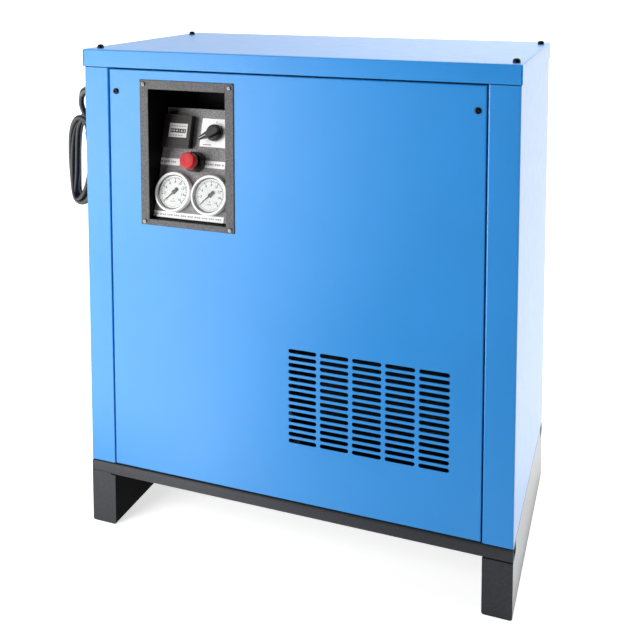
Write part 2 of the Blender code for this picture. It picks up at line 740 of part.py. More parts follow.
def hour_meter():
    place = (METER_ACROSS, METER_UP, 0)
    w, h = METER_WIDTH / 2, METER_HEIGHT / 2
    front = prism(rounded_rectangle((-w, -h), (w, h), 0.002, 2), GAP, METER_PROUD)
    meter = solid("hour_meter", front, BROWN_BLACK, plate_frame, place)
    half = METER_CAN / 2
    combine(meter, block((-half, -half, -0.035), (half, half, 0.005)), "UNION", place)
    window = block((-0.018, -0.0115, METER_PROUD - 0.0015), (0.018, 0.0135, METER_PROUD + 0.005))
    combine(meter, window, "DIFFERENCE", place)


def rotary_switch():
    """Scale plate and contact body fixed to the plate; the knob turns with its shaft."""
    place = (SWITCH_ACROSS, SWITCH_UP, 0)
    half = SWITCH_PLATE / 2
    scale = prism(rounded_rectangle((-half, -half), (half, half), 0.0015, 2), GAP, 0.0018)
    scale_plate = solid("switch_plate", scale, WHITE_SHEET, plate_frame, place)
    combine(scale_plate, turned(disc(0.0055, -0.01, 0.01), 16), "DIFFERENCE", place)
    contacts = block((-0.022, -0.022, -0.044), (0.022, 0.022, -PLATE_SHEET - GAP))
    body = solid("switch_body", contacts, GREY_BOX, plate_frame, place)
    combine(body, turned(disc(0.0045, -0.012, 0.01), 16), "DIFFERENCE", place)
    turn = (0, 0, SWITCH_LEVER_ANGLE)
    shaft = [(0, -0.010), (0.004, -0.010), (0.004, 0.0023)]
    dome = [(0.0150, 0.0023), (0.0150, 0.0090), (0.0135, 0.0105), (0, 0.0105)]
    knob = solid("switch_knob", turned(shaft + dome, 24), BLACK_PLASTIC, plate_frame, place, turn)
    lever = [
        (-0.0285, -0.0016),
        (-0.0120, -0.0060),
        (0.0150, -0.0060),
        (0.0195, -0.0040),
        (0.0195, 0.0040),
        (0.0150, 0.0060),
        (-0.0120, 0.0060),
        (-0.0285, 0.0016),
    ]
    combine(knob, prism(lever, 0.0065, 0.0210), "UNION", place, turn)


control_plate()
gauge("left", GAUGE_LEFT_ACROSS)
gauge("right", GAUGE_RIGHT_ACROSS)
stop_button()
hour_meter()
rotary_switch()


# ---------------------------------------------------------------- power cable


def cable_gland():
    """A hexagon gland through the left side, with a nut inside and a bore for the cable."""
    bore = CABLE_RADIUS + 2 * GAP
    wall = SHEET + GAP
    profile = [
        (bore, -0.024),
        (0.0085, -0.024),
        (0.0115, -0.018),
        (0.0120, -0.010),
        (0.0140, -0.009),
        (0.0140, -GAP),
        (0.0100, -GAP),
        (0.0100, wall),
        (0.0150, wall),
        (0.0150, 0.0065),
        (bore, 0.0065),
    ]
    gland = moved(turned(profile, 16, ring=True), (0, 0, 0), TO_RIGHT)
    solid("cable_gland", gland, BLACK_PLASTIC, cabinet, (-HALF, GLAND_Y, GLAND_Z))


def power_cable():
    """The lead from the electrical box through the gland, and the hung bundle as one thick loop."""
    centre_x = -HALF - (LOOP_REACH + LOOP_CLEARANCE) / 2
    half_width = (LOOP_REACH - LOOP_CLEARANCE) / 2 - BUNDLE_RADIUS
    half_height = LOOP_HALF_HEIGHT - BUNDLE_RADIUS
    points = [
        (-HALF + 0.040, 0.160, 0.7015),
        (-HALF + 0.040, 0.160, 0.716),
        (-HALF + 0.036, 0.110, 0.770),
        (-HALF + 0.020, GLAND_Y + 0.004, GLAND_Z - 0.002),
        (-HALF + 0.010, GLAND_Y, GLAND_Z),
        (-HALF, GLAND_Y, GLAND_Z),
        (-HALF - 0.026, GLAND_Y, GLAND_Z),
        (-HALF - 0.032, GLAND_Y, GLAND_Z),
        (-HALF - 0.050, GLAND_Y + 0.004, GLAND_Z - 0.016),
    ]
    swell = [1.0] * len(points)
    thick = BUNDLE_RADIUS / CABLE_RADIUS
    turns = 10
    for i in range(turns):
        angle = math.radians(98 + 326 * i / (turns - 1))
        points.append((
            centre_x + half_width * math.cos(angle),
            LOOP_Y,
            LOOP_Z + half_height * math.sin(angle),
        ))
        swell.append(thick)
    tube("power_cable", points, CABLE_RADIUS, RUBBER, cabinet, swell, resolution=1)


cable_gland()
power_cable()


# ---------------------------------------------------------------- refrigeration circuit


def refrigerant_compressor():
    r = COMPRESSOR_RADIUS
    profile = [
        (0, 0.146),
        (r * 0.55, 0.146),
        (r * 0.85, 0.154),
        (r, 0.176),
        (r, 0.240),
        (r + 0.003, 0.243),
        (r + 0.003, 0.249),
        (r, 0.252),
        (r, 0.305),
        (r * 0.88, 0.334),
        (r * 0.60, 0.350),
        (0, 0.357),
    ]
    place = (COMPRESSOR_X, COMPRESSOR_Y, 0)
    solid("refrigerant_compressor", turned(profile, 24), BLACK_ENAMEL, cabinet, place)
    plate = block((-0.095, -0.070, MOUNT_UNDERSIDE), (0.095, 0.070, MOUNT_UNDERSIDE + 0.004))
    mount = solid("compressor_mount", plate, STEEL, cabinet, place)
    feet = bmesh.new()
    for x in (-0.080, 0.080):
        for y in (-0.055, 0.055):
            foot = [(x + u, y + v) for u, v in polygon(12, 0.013)]
            prism(foot, BODY_BOTTOM, MOUNT_UNDERSIDE + 0.001, "Z", feet)
    combine(mount, feet, "UNION", place)


def condenser():
    """A finned core between two header plates, just behind the grille."""
    w, h = CONDENSER_HALF_WIDTH, CONDENSER_HALF_HEIGHT
    near, far = CONDENSER_Y
    plates = 0.002
    low = (FAN_X - w + plates / 2, near + 0.003, FAN_Z - h)
    high = (FAN_X + w - plates / 2, far - 0.003, FAN_Z + h)
    core = solid("condenser", block(low, high), ALUMINIUM, cabinet)
    ends = block((FAN_X - w, near, FAN_Z - h - 0.004), (FAN_X - w + plates, far, FAN_Z + h + 0.004))
    block((FAN_X + w - plates, near, FAN_Z - h - 0.004), (FAN_X + w, far, FAN_Z + h + 0.004), ends)
    combine(core, ends, "UNION")


def fan():
    """Shroud behind the condenser, motor on a cross bar, and a rotor whose origin is on its shaft."""
    w, h = CONDENSER_HALF_WIDTH, CONDENSER_HALF_HEIGHT
    face = CONDENSER_Y[1] + GAP
    throat = FAN_RADIUS + 0.004
    plate = block((FAN_X - w, face, FAN_Z - h), (FAN_X + w, face + 0.002, FAN_Z + h))
    shroud = solid("fan_shroud", plate, BLACK_ENAMEL, cabinet)
    ring = [(0, 0.0008), (throat + 0.002, 0.0008), (throat + 0.002, 0.032), (0, 0.032)]
    combine(shroud, moved(turned(ring, 36), (0, 0, 0), TO_REAR), "UNION", (FAN_X, face, FAN_Z))
    hole = [(0, -0.01), (throat, -0.01), (throat, 0.05), (0, 0.05)]
    combine(shroud, moved(turned(hole, 36), (0, 0, 0), TO_REAR), "DIFFERENCE", (FAN_X, face, FAN_Z))
    place = (FAN_X, face, FAN_Z)
    profile = [
        (0, 0.0265),
        (0.004, 0.0265),
        (0.004, 0.036),
        (0.030, 0.036),
        (0.037, 0.042),
        (0.037, 0.078),
        (0.030, 0.086),
        (0, 0.086),
    ]
    motor = solid("fan_motor", moved(turned(profile, 24), (0, 0, 0), TO_REAR), BLACK_ENAMEL, cabinet, place)
    bar = block((-throat - 0.012, 0.0325, -0.012), (throat + 0.012, 0.0365, 0.012))
    combine(motor, bar, "UNION", place)
    hub = moved(turned(disc(0.030, 0.004, 0.026), 24), (0, 0, 0), TO_REAR)
    rotor = solid("fan_rotor", hub, ALUMINIUM, cabinet, place)
    blades = bmesh.new()
    for i in range(FAN_BLADES):
        blade = block((0.024, -0.026, -0.0009), (FAN_RADIUS, 0.026, 0.0009))
        pitch = Matrix.Rotation(math.radians(24), 4, "X")
        around = Matrix.Rotation(math.tau * i / FAN_BLADES, 4, "Y")
        lay_flat = Matrix.Rotation(math.pi / 2, 4, "X")
        moved(blade, (0, 0, 0), Matrix.Translation((0, 0.015, 0)) @ around @ pitch @ lay_flat)
        part = bpy.data.meshes.new("blade")
        blade.to_mesh(part)
        blade.free()
        blades.from_mesh(part)
    combine(rotor, blades, "UNION", place)


def filter_drier():
    r = DRIER_RADIUS
    shoulder = [(0, 0), (0.006, 0), (0.006, 0.006), (r * 0.8, 0.012), (r, 0.022)]
    profile = [(radius, DRIER_BOTTOM + height) for radius, height in shoulder]
    profile += [(radius, DRIER_TOP - height) for radius, height in shoulder[::-1]]
    solid("filter_drier", turned(profile, 20), COPPER, cabinet, (DRIER_X, DRIER_Y, 0))


def hot_gas_valve():
    """The bypass valve that keeps the exchanger from freezing, with a stub on each side."""
    barrel = [(0, 0), (0.014, 0), (0.014, 0.020)]
    cap = [(0.019, 0.022), (0.019, 0.034), (0.012, 0.040), (0, 0.042)]
    place = (-0.075, 0.150, 0.470)
    valve = solid("hot_gas_valve", turned(barrel + cap, 20), BRASS, cabinet, place)
    stubs = moved(turned(disc(0.005, -0.032, 0.032), 12), (0, 0, 0.010), TO_RIGHT)
    combine(valve, stubs, "UNION", place)


def refrigerant_lines():
    left = FAN_X - CONDENSER_HALF_WIDTH - GAP
    middle = (CONDENSER_Y[0] + CONDENSER_Y[1]) / 2
    high = FAN_Z + CONDENSER_HALF_HEIGHT - 0.015
    low = FAN_Z - CONDENSER_HALF_HEIGHT + 0.015
    tube(
        "discharge_line",
        [
            (COMPRESSOR_X + 0.035, COMPRESSOR_Y, 0.3595),
            (COMPRESSOR_X + 0.035, COMPRESSOR_Y, 0.385),
            (COMPRESSOR_X + 0.050, COMPRESSOR_Y - 0.060, 0.412),
            (-0.060, middle + 0.020, 0.405),
            (-0.030, middle, high),
            (left, middle, high),
        ],
        0.0045,
        COPPER,
        cabinet,
        resolution=1,
    )
    tube(
        "liquid_line",
        [
            (left, middle, low),
            (left - 0.018, middle, low),
            (DRIER_X, DRIER_Y - 0.030, low - 0.006),
            (DRIER_X, DRIER_Y, low - 0.004),
            (DRIER_X, DRIER_Y, DRIER_BOTTOM - GAP),
        ],
        0.0035,
        COPPER,
        cabinet,
        resolution=1,
    )
    tube(
        "capillary_line",
        [
            (DRIER_X, DRIER_Y, DRIER_TOP + GAP),
            (DRIER_X, DRIER_Y, DRIER_TOP + 0.040),
            (DRIER_X + 0.010, DRIER_Y + 0.040, 0.470),
            (0.060, 0.190, 0.500),
            (0.060, EXCHANGER_LOW[1] - GAP, 0.500),
        ],
        0.0025,
        COPPER,
        cabinet,
        resolution=1,
    )
    tube(
        "suction_line",
        [
            (0.070, 0.250, EXCHANGER_LOW[2] - GAP),
            (0.070, 0.250, 0.440),
            (0.020, 0.235, 0.330),
            (-0.040, COMPRESSOR_Y, 0.275),
            (COMPRESSOR_X + COMPRESSOR_RADIUS + 2 * GAP, COMPRESSOR_Y, 0.275),
        ],
        0.0065,
        COPPER,
        cabinet,
        resolution=1,
    )


# ---------------------------------------------------------------- air circuit


def air_circuit():
    solid("heat_exchanger", block(EXCHANGER_LOW, EXCHANGER_HIGH), FOAM, cabinet)
    profile = [(0, 0.420), (0.014, 0.420), (0.014, 0.428), (0.028, 0.436), (0.034, 0.452), (0.034, 0.590)]
    profile += [(0.038, 0.592), (0.038, 0.618), (0.030, 0.626), (0, 0.626)]
    place = (SEPARATOR_X, SEPARATOR_Y, 0)
    separator = solid("moisture_separator", turned(profile, 24), ALUMINIUM, cabinet, place)
    reach = EXCHANGER_LOW[0] - SEPARATOR_X - GAP
    port = moved(turned(disc(0.010, 0, reach), 16), (0, 0, 0.605), TO_RIGHT)
    combine(separator, port, "UNION", place)
    for name, x in (("air_inlet_pipe", AIR_INLET_X), ("air_outlet_pipe", AIR_OUTLET_X)):
        air_pipe(name, x)


def air_pipe(name, x):
    """A pipe from the exchanger out through the rear panel, ending in a hexagon union."""
    start = EXCHANGER_HIGH[1] + GAP
    end = DEPTH + AIR_PORT_PROUD
    bore = 0.010
    union_start = DEPTH + 0.008
    profile = [(bore, start), (AIR_PIPE_RADIUS, start), (AIR_PIPE_RADIUS, end), (bore, end)]
    pipe_mesh = moved(turned(profile, 24, ring=True), (0, 0, 0), TO_REAR)
    pipe = solid(name, pipe_mesh, BRASS, cabinet, (x, 0, AIR_PORT_Z))
    nut = prism(polygon(6, 0.0195), union_start, end - 0.006, "Y")
    combine(pipe, nut, "UNION", (x, 0, AIR_PORT_Z))
    clear = moved(turned(disc(bore, start - 0.01, end + 0.01), 24), (0, 0, 0), TO_REAR)
    combine(pipe, clear, "DIFFERENCE", (x, 0, AIR_PORT_Z))


def condensate_drain():
    """A ball valve under the separator, its lever on the front, and the hose to the rear outlet."""
    place = (SEPARATOR_X, SEPARATOR_Y, DRAIN_Z)
    lower = [(0, -0.022), (0.008, -0.022), (0.008, -0.010), (0.013, -0.008)]
    upper = [(0.013, 0.008), (0.008, 0.010), (0.008, 0.0227), (0, 0.0227)]
    valve = solid("drain_valve", turned(lower + upper, 16), BRASS, cabinet, place)
    stem = moved(turned(disc(0.004, -0.022, -0.005), 12), (0, 0, 0), TO_REAR)
    combine(valve, stem, "UNION", place)
    lever = prism(rounded_rectangle((-0.007, -0.048), (0.007, 0.008), 0.006, 2), -0.0215, -0.0185, "Y")
    handle = solid("drain_valve_handle", lever, RED_PLASTIC, cabinet, place)
    eye = moved(turned(disc(0.004 + GAP, -0.03, -0.01), 12), (0, 0, 0), TO_REAR)
    combine(handle, eye, "DIFFERENCE", place)
    tube(
        "drain_hose",
        [
            (SEPARATOR_X, SEPARATOR_Y, DRAIN_Z - 0.022 - GAP),
            (SEPARATOR_X, SEPARATOR_Y, 0.300),
            (SEPARATOR_X, SEPARATOR_Y + 0.015, 0.200),
            (SEPARATOR_X, DEPTH - 0.040, DRAIN_OUTLET_Z),
            (SEPARATOR_X, DEPTH + 0.016, DRAIN_OUTLET_Z),
        ],
        0.006,
        CLEAR_HOSE,
        cabinet,
        resolution=1,
    )


def electrical_box():
    low = (-HALF + 0.006, 0.130, 0.420)
    high = (-HALF + 0.076, 0.350, 0.700)
    solid("electrical_box", block(low, high), GREY_BOX, cabinet)


refrigerant_compressor()
condenser()
fan()
filter_drier()
hot_gas_valve()
refrigerant_lines()
air_circuit()
condensate_drain()
electrical_box()
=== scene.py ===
"""Looks of the refrigerated air dryer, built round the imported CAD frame."""
import json
import math

import bmesh
import bpy
from mathutils import Matrix, Vector


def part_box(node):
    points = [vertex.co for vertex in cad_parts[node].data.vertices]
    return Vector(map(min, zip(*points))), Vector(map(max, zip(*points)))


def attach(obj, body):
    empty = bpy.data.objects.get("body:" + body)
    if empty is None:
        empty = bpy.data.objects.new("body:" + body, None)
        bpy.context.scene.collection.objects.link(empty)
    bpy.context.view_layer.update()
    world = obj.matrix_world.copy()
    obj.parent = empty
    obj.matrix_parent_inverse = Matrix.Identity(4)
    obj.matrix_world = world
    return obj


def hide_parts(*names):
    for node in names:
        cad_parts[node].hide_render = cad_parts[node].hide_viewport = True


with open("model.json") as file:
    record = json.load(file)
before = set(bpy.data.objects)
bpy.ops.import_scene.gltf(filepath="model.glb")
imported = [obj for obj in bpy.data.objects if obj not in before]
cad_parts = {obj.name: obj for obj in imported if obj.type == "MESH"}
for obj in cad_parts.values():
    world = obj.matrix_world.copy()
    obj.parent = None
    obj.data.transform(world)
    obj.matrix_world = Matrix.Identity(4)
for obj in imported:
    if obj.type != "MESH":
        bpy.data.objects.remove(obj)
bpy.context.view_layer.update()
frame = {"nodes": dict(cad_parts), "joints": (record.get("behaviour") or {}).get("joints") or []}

# ---------------------------------------------------------------- places from the frame, and the sheet

LID_LOW, LID_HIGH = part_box("top_lid")
LEFT_LOW, LEFT_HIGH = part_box("side_panel_left")
RIGHT_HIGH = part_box("side_panel_right")[1]
PANEL_LOW, PANEL_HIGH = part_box("front_panel")
REAR_LOW, REAR_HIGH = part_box("rear_panel")
RECESS_LOW, RECESS_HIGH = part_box("control_recess")
MIDDLE_X = (LID_LOW.x + LID_HIGH.x) / 2
FRONT_Y = LEFT_LOW.y
REAR_Y = LEFT_HIGH.y
SHEET = 0.0015
FOLD = 0.0025
PAST = 0.01  # how far a cutter reaches past the face that it cuts
JOINTS = {joint["name"]: joint for joint in frame["joints"]}

# The control plate's directions: across, up the slope, and out of its face
ACROSS = Vector((1, 0, 0))
OUT = Vector(JOINTS["selector_turn"]["axis"]).normalized()
UP_SLOPE = OUT.cross(ACROSS)


def plate_frame(origin):
    """Axes of the control plate at a point: +X across, +Y up the slope, +Z out."""
    axes = Matrix((ACROSS, UP_SLOPE, OUT)).transposed().to_4x4()
    return Matrix.Translation(origin) @ axes


def local_box(node, matrix):
    """A CAD node's box in another frame."""
    inverse = matrix.inverted()
    points = [inverse @ vertex.co for vertex in frame["nodes"][node].data.vertices]
    low = Vector([min(p[i] for p in points) for i in range(3)])
    high = Vector([max(p[i] for p in points) for i in range(3)])
    return low, high


def middle_of(node):
    low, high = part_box(node)
    return (low + high) / 2


# ---------------------------------------------------------------- mesh helpers


def block(low, high, bm=None):
    bm = bm or bmesh.new()
    low, high = Vector(low), Vector(high)
    spread = Matrix.Diagonal((*(high - low), 1))
    bmesh.ops.create_cube(bm, size=1, matrix=Matrix.Translation((low + high) / 2) @ spread)
    return bm


AXES = {
    "X": lambda u, v, w: (w, u, v),
    "Y": lambda u, v, w: (u, w, v),
    "Z": lambda u, v, w: (u, v, w),
}


def prism(outline, low, high, axis="Z", bm=None):
    """A closed outline in the plane across an axis, swept along it from low to high."""
    bm = bm or bmesh.new()
    ends = [[bm.verts.new(AXES[axis](u, v, w)) for u, v in outline] for w in (low, high)]
    for ring in ends:
        bm.faces.new(ring)
    for i in range(len(outline)):
        j = (i + 1) % len(outline)
        bm.faces.new((ends[0][i], ends[0][j], ends[1][j], ends[1][i]))
    return bm


def turned(profile, segments=64, ring=False, bm=None, matrix=None):
    """(radius, height) points revolved round Z. A ring's profile closes on itself."""
    bm = bm or bmesh.new()
    rows = []
    for radius, height in profile:
        if radius == 0:
            rows.append([bm.verts.new((0, 0, height))] * segments)
            continue
        angles = [math.tau * i / segments for i in range(segments)]
        rows.append([bm.verts.new((radius * math.cos(a), radius * math.sin(a), height)) for a in angles])
    pairs = list(zip(rows, rows[1:]))
    if ring:
        pairs.append((rows[-1], rows[0]))
    for lower, upper in pairs:
        for i in range(segments):
            j = (i + 1) % segments
            corners = dict.fromkeys((lower[i], lower[j], upper[j], upper[i]))
            bm.faces.new(tuple(corners))
    if matrix is not None:
        new = {vertex for row in rows for vertex in row}
        bmesh.ops.transform(bm, matrix=matrix, verts=list(new))
    return bm


def polar(radius, degrees, centre=(0, 0)):
    angle = math.radians(degrees)
    return centre[0] + radius * math.cos(angle), centre[1] + radius * math.sin(angle)


def arc(centre, radius, start, end, steps):
    return [polar(radius, start + (end - start) * i / steps, centre) for i in range(steps + 1)]


def circle(radius, centre=(0, 0), steps=32):
    return arc(centre, radius, 0, 360 - 360 / steps, steps - 1)


def rounded_rectangle(low, high, radius, steps=6):
    return (
        arc((high[0] - radius, high[1] - radius), radius, 0, 90, steps)
        + arc((low[0] + radius, high[1] - radius), radius, 90, 180, steps)
        + arc((low[0] + radius, low[1] + radius), radius, 180, 270, steps)
        + arc((high[0] - radius, low[1] + radius), radius, 270, 360, steps)
    )


TO_FRONT = Matrix.Rotation(math.pi / 2, 4, "X")  # takes +Z to -Y
TO_RIGHT = Matrix.Rotation(math.pi / 2, 4, "Y")  # takes +Z to +X


def settle(obj, body, shows=None):
    """A finished piece rides on a body, and stands for the CAD node that it shows."""
    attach(obj, body)
    if shows:
        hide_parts(shows)


def piece(name, bm, material, body, matrix=None, smooth=35, shows=None):
    """A new object from a bmesh, placed by a matrix. With a body it is settled on it."""
    bmesh.ops.recalc_face_normals(bm, faces=bm.faces)
    mesh = bpy.data.meshes.new(name)
    bm.to_mesh(mesh)
    bm.free()
    if matrix is not None:
        mesh.transform(matrix)
    mesh.materials.append(material)
    mesh.shade_smooth()
    mesh.set_sharp_from_angle(angle=math.radians(smooth))
    obj = bpy.data.objects.new(name, mesh)
    bpy.context.scene.collection.objects.link(obj)
    if body:
        settle(obj, body, shows)
    return obj


def soften(obj, width, segments=2, angle=35):
    """Rounds the sharp edges, and weights normals so that flat faces stay flat."""
    bevel = obj.modifiers.new("edges", "BEVEL")
    bevel.width = width
    bevel.segments = segments
    bevel.limit_method = "ANGLE"
    bevel.angle_limit = math.radians(angle)
    bevel.use_clamp_overlap = True
    weighted = obj.modifiers.new("normals", "WEIGHTED_NORMAL")
    weighted.keep_sharp = False
    return obj


def refine(node, material, width=0.0004, segments=2, angle=35):
    """A CAD node keeps its shape and gets its finish and softened edges."""
    obj = frame["nodes"][node]
    obj.data.materials.clear()
    obj.data.materials.append(material)
    if obj.data.attributes.get("custom_normal"):
        obj.data.attributes.remove(obj.data.attributes["custom_normal"])
    obj.data.shade_smooth()
    weld = obj.modifiers.new("weld", "WELD")
    weld.merge_threshold = 0.00001
    return soften(obj, width, segments, angle)


def baked(obj):
    """Applies the modifiers and returns the object."""
    graph = bpy.context.evaluated_depsgraph_get()
    graph.update()
    mesh = bpy.data.meshes.new_from_object(obj.evaluated_get(graph))
    obj.modifiers.clear()
    obj.data = mesh
    return obj


def cut(obj, bm):
    """Cuts a shape from a piece for good."""
    helper = piece("helper", bm, obj.data.materials[0], None)
    modifier = obj.modifiers.new("cut", "BOOLEAN")
    modifier.operation = "DIFFERENCE"
    modifier.object = helper
    modifier.solver = "EXACT"
    baked(obj)
    bpy.data.objects.remove(helper)
    return obj


# ---------------------------------------------------------------- material helpers


def new_material(name, colour, roughness, metallic=0.0):
    material = bpy.data.materials.new(name)
    material.use_nodes = True
    shader = material.node_tree.nodes["Principled BSDF"]
    shader.inputs["Base Color"].default_value = (*colour, 1)
    shader.inputs["Roughness"].default_value = roughness
    shader.inputs["Metallic"].default_value = metallic
    return material


def shader_of(material):
    return material.node_tree.nodes["Principled BSDF"]


def set_specular(material, level):
    shader_of(material).inputs["Specular IOR Level"].default_value = level


def node(owner, kind, **values):
    """A node in a material or a world, with its settings and the values of its inputs."""
    made = owner.node_tree.nodes.new("ShaderNode" + kind)
    for key, value in values.items():
        if hasattr(made, key):
            setattr(made, key, value)
        else:
            made.inputs[key.replace("_", " ")].default_value = value
    return made


def link(owner, source, target):
    owner.node_tree.links.new(source, target)


def drive(material, slot, source):
    link(material, source, shader_of(material).inputs[slot])


def position(owner, source="Object"):
    """X, Y and Z of the shaded point: a piece's own, in metres, unless another source is named."""
    parts = node(owner, "SeparateXYZ")
    link(owner, node(owner, "TexCoord").outputs[source], parts.inputs["Vector"])
    return parts.outputs


def ramp(owner, value, start, end, low, high, course="SMOOTHSTEP"):
    """A step of a value, from low at start to high at end."""
    limits = {"From_Min": start, "From_Max": end, "To_Min": low, "To_Max": high}
    made = node(owner, "MapRange", interpolation_type=course, **limits)
    link(owner, value, made.inputs["Value"])
    return made.outputs["Result"]


def math_node(owner, operation, first, second):
    made = node(owner, "Math", operation=operation)
    for slot, value in zip(made.inputs, (first, second)):
        if isinstance(value, (int, float)):
            slot.default_value = value
        else:
            link(owner, value, slot)
    return made.outputs[0]


def product(owner, first, *others):
    for other in others:
        first = math_node(owner, "MULTIPLY", first, other)
    return first


def ray_is(owner, kind):
    """1 for a ray of this kind and 0 for any other."""
    return node(owner, "LightPath").outputs[f"Is {kind} Ray"]


def noise(material, per_metre, detail=2.0, rough=0.5, stretch=(1, 1, 1)):
    """Noise in the piece's own coordinates, so that it moves with the piece."""
    mapping = node(material, "Mapping", Scale=stretch)
    link(material, node(material, "TexCoord").outputs["Object"], mapping.inputs["Vector"])
    made = node(material, "TexNoise", Scale=per_metre, Detail=detail, Roughness=rough)
    link(material, mapping.outputs["Vector"], made.inputs["Vector"])
    return made.outputs["Fac"]


def scaled(material, value, low, high):
    """A noise value stretched to a range."""
    return ramp(material, value, 0.3, 0.7, low, high, "LINEAR")


def bump(material, height, strength, distance, before=None):
    made = node(material, "Bump", Strength=strength, Distance=distance)
    link(material, height, made.inputs["Height"])
    if before is not None:
        link(material, before, made.inputs["Normal"])
    return made.outputs["Normal"]


SHARE, COLOURS, MIXED = 0, (6, 7), 2  # a Mix node's sockets for colours


def mix_colour(material, share, *colours):
    """Base colour between two, each a tone or a node's output."""
    mix = node(material, "Mix", data_type="RGBA")
    link(material, share, mix.inputs[SHARE])
    for slot, colour in zip(COLOURS, colours):
        if isinstance(colour, tuple):
            mix.inputs[slot].default_value = (*colour, 1)
        else:
            link(material, colour, mix.inputs[slot])
    drive(material, "Base Color", mix.outputs[MIXED])


def tone(colour, factor):
    return tuple(min(1.0, c * factor) for c in colour)


def vary_colour(material, per_metre, colour, darker, lighter):
    share = scaled(material, noise(material, per_metre, 3), 0, 1)
    mix_colour(material, share, tone(colour, darker), tone(colour, lighter))


def coated(name, colour, roughness, peel_mm, peel, grain_mm, grain, vary=0.06, vary_mm=160):
    """Paint or plastic: a drift of tone, a broad orange peel and a fine grain."""
    material = new_material(name, colour, roughness)
    vary_colour(material, 1000 / vary_mm, colour, 1 - vary, 1 + vary)
    gloss = scaled(material, noise(material, 40, 4), roughness - 0.015, roughness + 0.015)
    drive(material, "Roughness", gloss)
    broad = bump(material, noise(material, 1000 / peel_mm, 1), peel, 0.0002)
    fine = bump(material, noise(material, 1000 / grain_mm, 2, 0.6), grain, 0.0001, broad)
    drive(material, "Normal", fine)
    return material


# ---------------------------------------------------------------- the finishes


def textured_grey_coat(colour):
    """A matt wrinkle coat."""
    return coated("grey_textured_coat", colour, 0.50, 2.2, 1.0, 0.8, 0.8, vary=0.45, vary_mm=2.4)


def recess_coat_with_painted_shade():
    """Wrinkle coat, dark grey on the flange that faces out, and near black with little gloss within the
    recess: painted shade for the recess's shadowed walls.
    """
    material = textured_grey_coat((0.080, 0.078, 0.080))
    material.name = "recess_coat_with_painted_shade"
    grey = shader_of(material).inputs["Base Color"].links[0].from_socket
    # Painted shade: within the recess the coat turns near black and its gloss drops.
    recess_shade_mask = math_node(material, "GREATER_THAN", position(material)["Y"], FRONT_Y - 0.0001)
    mix_colour(material, recess_shade_mask, grey, (0.004, 0.004, 0.0045))
    drive(material, "Specular IOR Level", ramp(material, recess_shade_mask, 0, 1, 0.36, 0.06, "LINEAR"))
    return material


def moulded(name, colour, roughness=0.38, grain=0.15):
    return coated(name, colour, roughness, 3.0, 0.05, 0.35, grain, vary=0.04)


def metal(name, colour, roughness, stretch=(1, 1, 12), brushed=0.25):
    """Bare metal with fine lines drawn along one direction."""
    material = new_material(name, colour, roughness, 1.0)
    lines = noise(material, 900, 3, 0.6, stretch)
    drive(material, "Roughness", scaled(material, lines, roughness * 0.75, roughness * 1.3))
    drive(material, "Normal", bump(material, lines, brushed, 0.00005))
    vary_colour(material, 30, colour, 0.90, 1.05)
    return material


def clear_lens():
    """Thin flat glass: see-through, with a faint reflection."""
    material = bpy.data.materials.new("clear_lens")
    material.use_nodes = True
    material.node_tree.nodes.clear()
    through = node(material, "BsdfTransparent", Color=(0.97, 0.975, 0.975, 1))
    gloss = node(material, "BsdfGlossy", Roughness=0.06)
    mix = node(material, "MixShader")
    share = node(material, "Fresnel", IOR=1.35).outputs["Fac"]
    for slot, source in enumerate((share, through.outputs["BSDF"], gloss.outputs["BSDF"])):
        link(material, source, mix.inputs[slot])
    output = node(material, "OutputMaterial")
    link(material, mix.outputs["Shader"], output.inputs["Surface"])
    return material


BLUE = coated("blue_powder_coat", (0.018, 0.233, 0.610), 0.30, 3.6, 0.55, 0.9, 0.12, vary=0.03)
CHARCOAL = coated("charcoal_powder_coat", (0.031, 0.033, 0.037), 0.30, 2.4, 0.50, 0.8, 0.25, 0.15, 3.0)
set_specular(CHARCOAL, 0.2)
# A lighter, glossier copy of the charcoal coat for the right leg's outer face: painted sheen where light
# grazes that face.
CHARCOAL_PAINTED_SHEEN = coated("charcoal_painted_sheen", (0.20, 0.204, 0.203), 0.36, 2.4, 0.60, 0.9, 0.9, 0.30, 1.6)
set_specular(CHARCOAL_PAINTED_SHEEN, 1.0)
# Near black, for the left leg's inner face: painted shade under the cabinet.
PAINTED_SHADE_BLACK = coated("painted_shade_black", (0.0035, 0.0035, 0.0035), 0.80, 2.4, 0.60, 0.8, 0.9)
set_specular(PAINTED_SHADE_BLACK, 0.05)
PLATE_GREY = textured_grey_coat((0.222, 0.217, 0.219))
RECESS_GREY = recess_coat_with_painted_shade()
BLACK_PLASTIC = moulded("black_plastic", (0.013, 0.013, 0.014), 0.34)
CONTROL_BLACK = moulded("control_black", (0.007, 0.007, 0.0075), 0.26)
set_specular(CONTROL_BLACK, 0.32)
METER_PLASTIC = moulded("meter_plastic", (0.016, 0.012, 0.012), 0.48)
RED_PLASTIC = moulded("red_plastic", (0.520, 0.006, 0.012), 0.42, 0.05)
WHITE_SHEET = moulded("white_sheet", (0.93, 0.93, 0.93), 0.40, 0.05)
PRINT_GREY = moulded("print_grey", (0.36, 0.36, 0.37), 0.55, 0.05)
PRINT_BLACK = moulded("print_black", (0.015, 0.015, 0.016), 0.50, 0.05)
DIAL_WHITE = moulded("dial_white", (0.92, 0.92, 0.91), 0.50, 0.05)
LCD_GREY = moulded("display_face", (0.66, 0.66, 0.65), 0.35, 0.05)
LENS = clear_lens()
RING = moulded("bright_ring", (0.92, 0.92, 0.91), 0.30, 0.05)
STEEL = metal("zinc_plated_steel", (0.62, 0.62, 0.64), 0.28)
DULL_NICKEL = metal("dull_nickel", (0.30, 0.30, 0.31), 0.42)
BLACK_STEEL = metal("blackened_steel", (0.030, 0.030, 0.032), 0.35)
COPPER = metal("copper_tube", (0.72, 0.33, 0.20), 0.28)
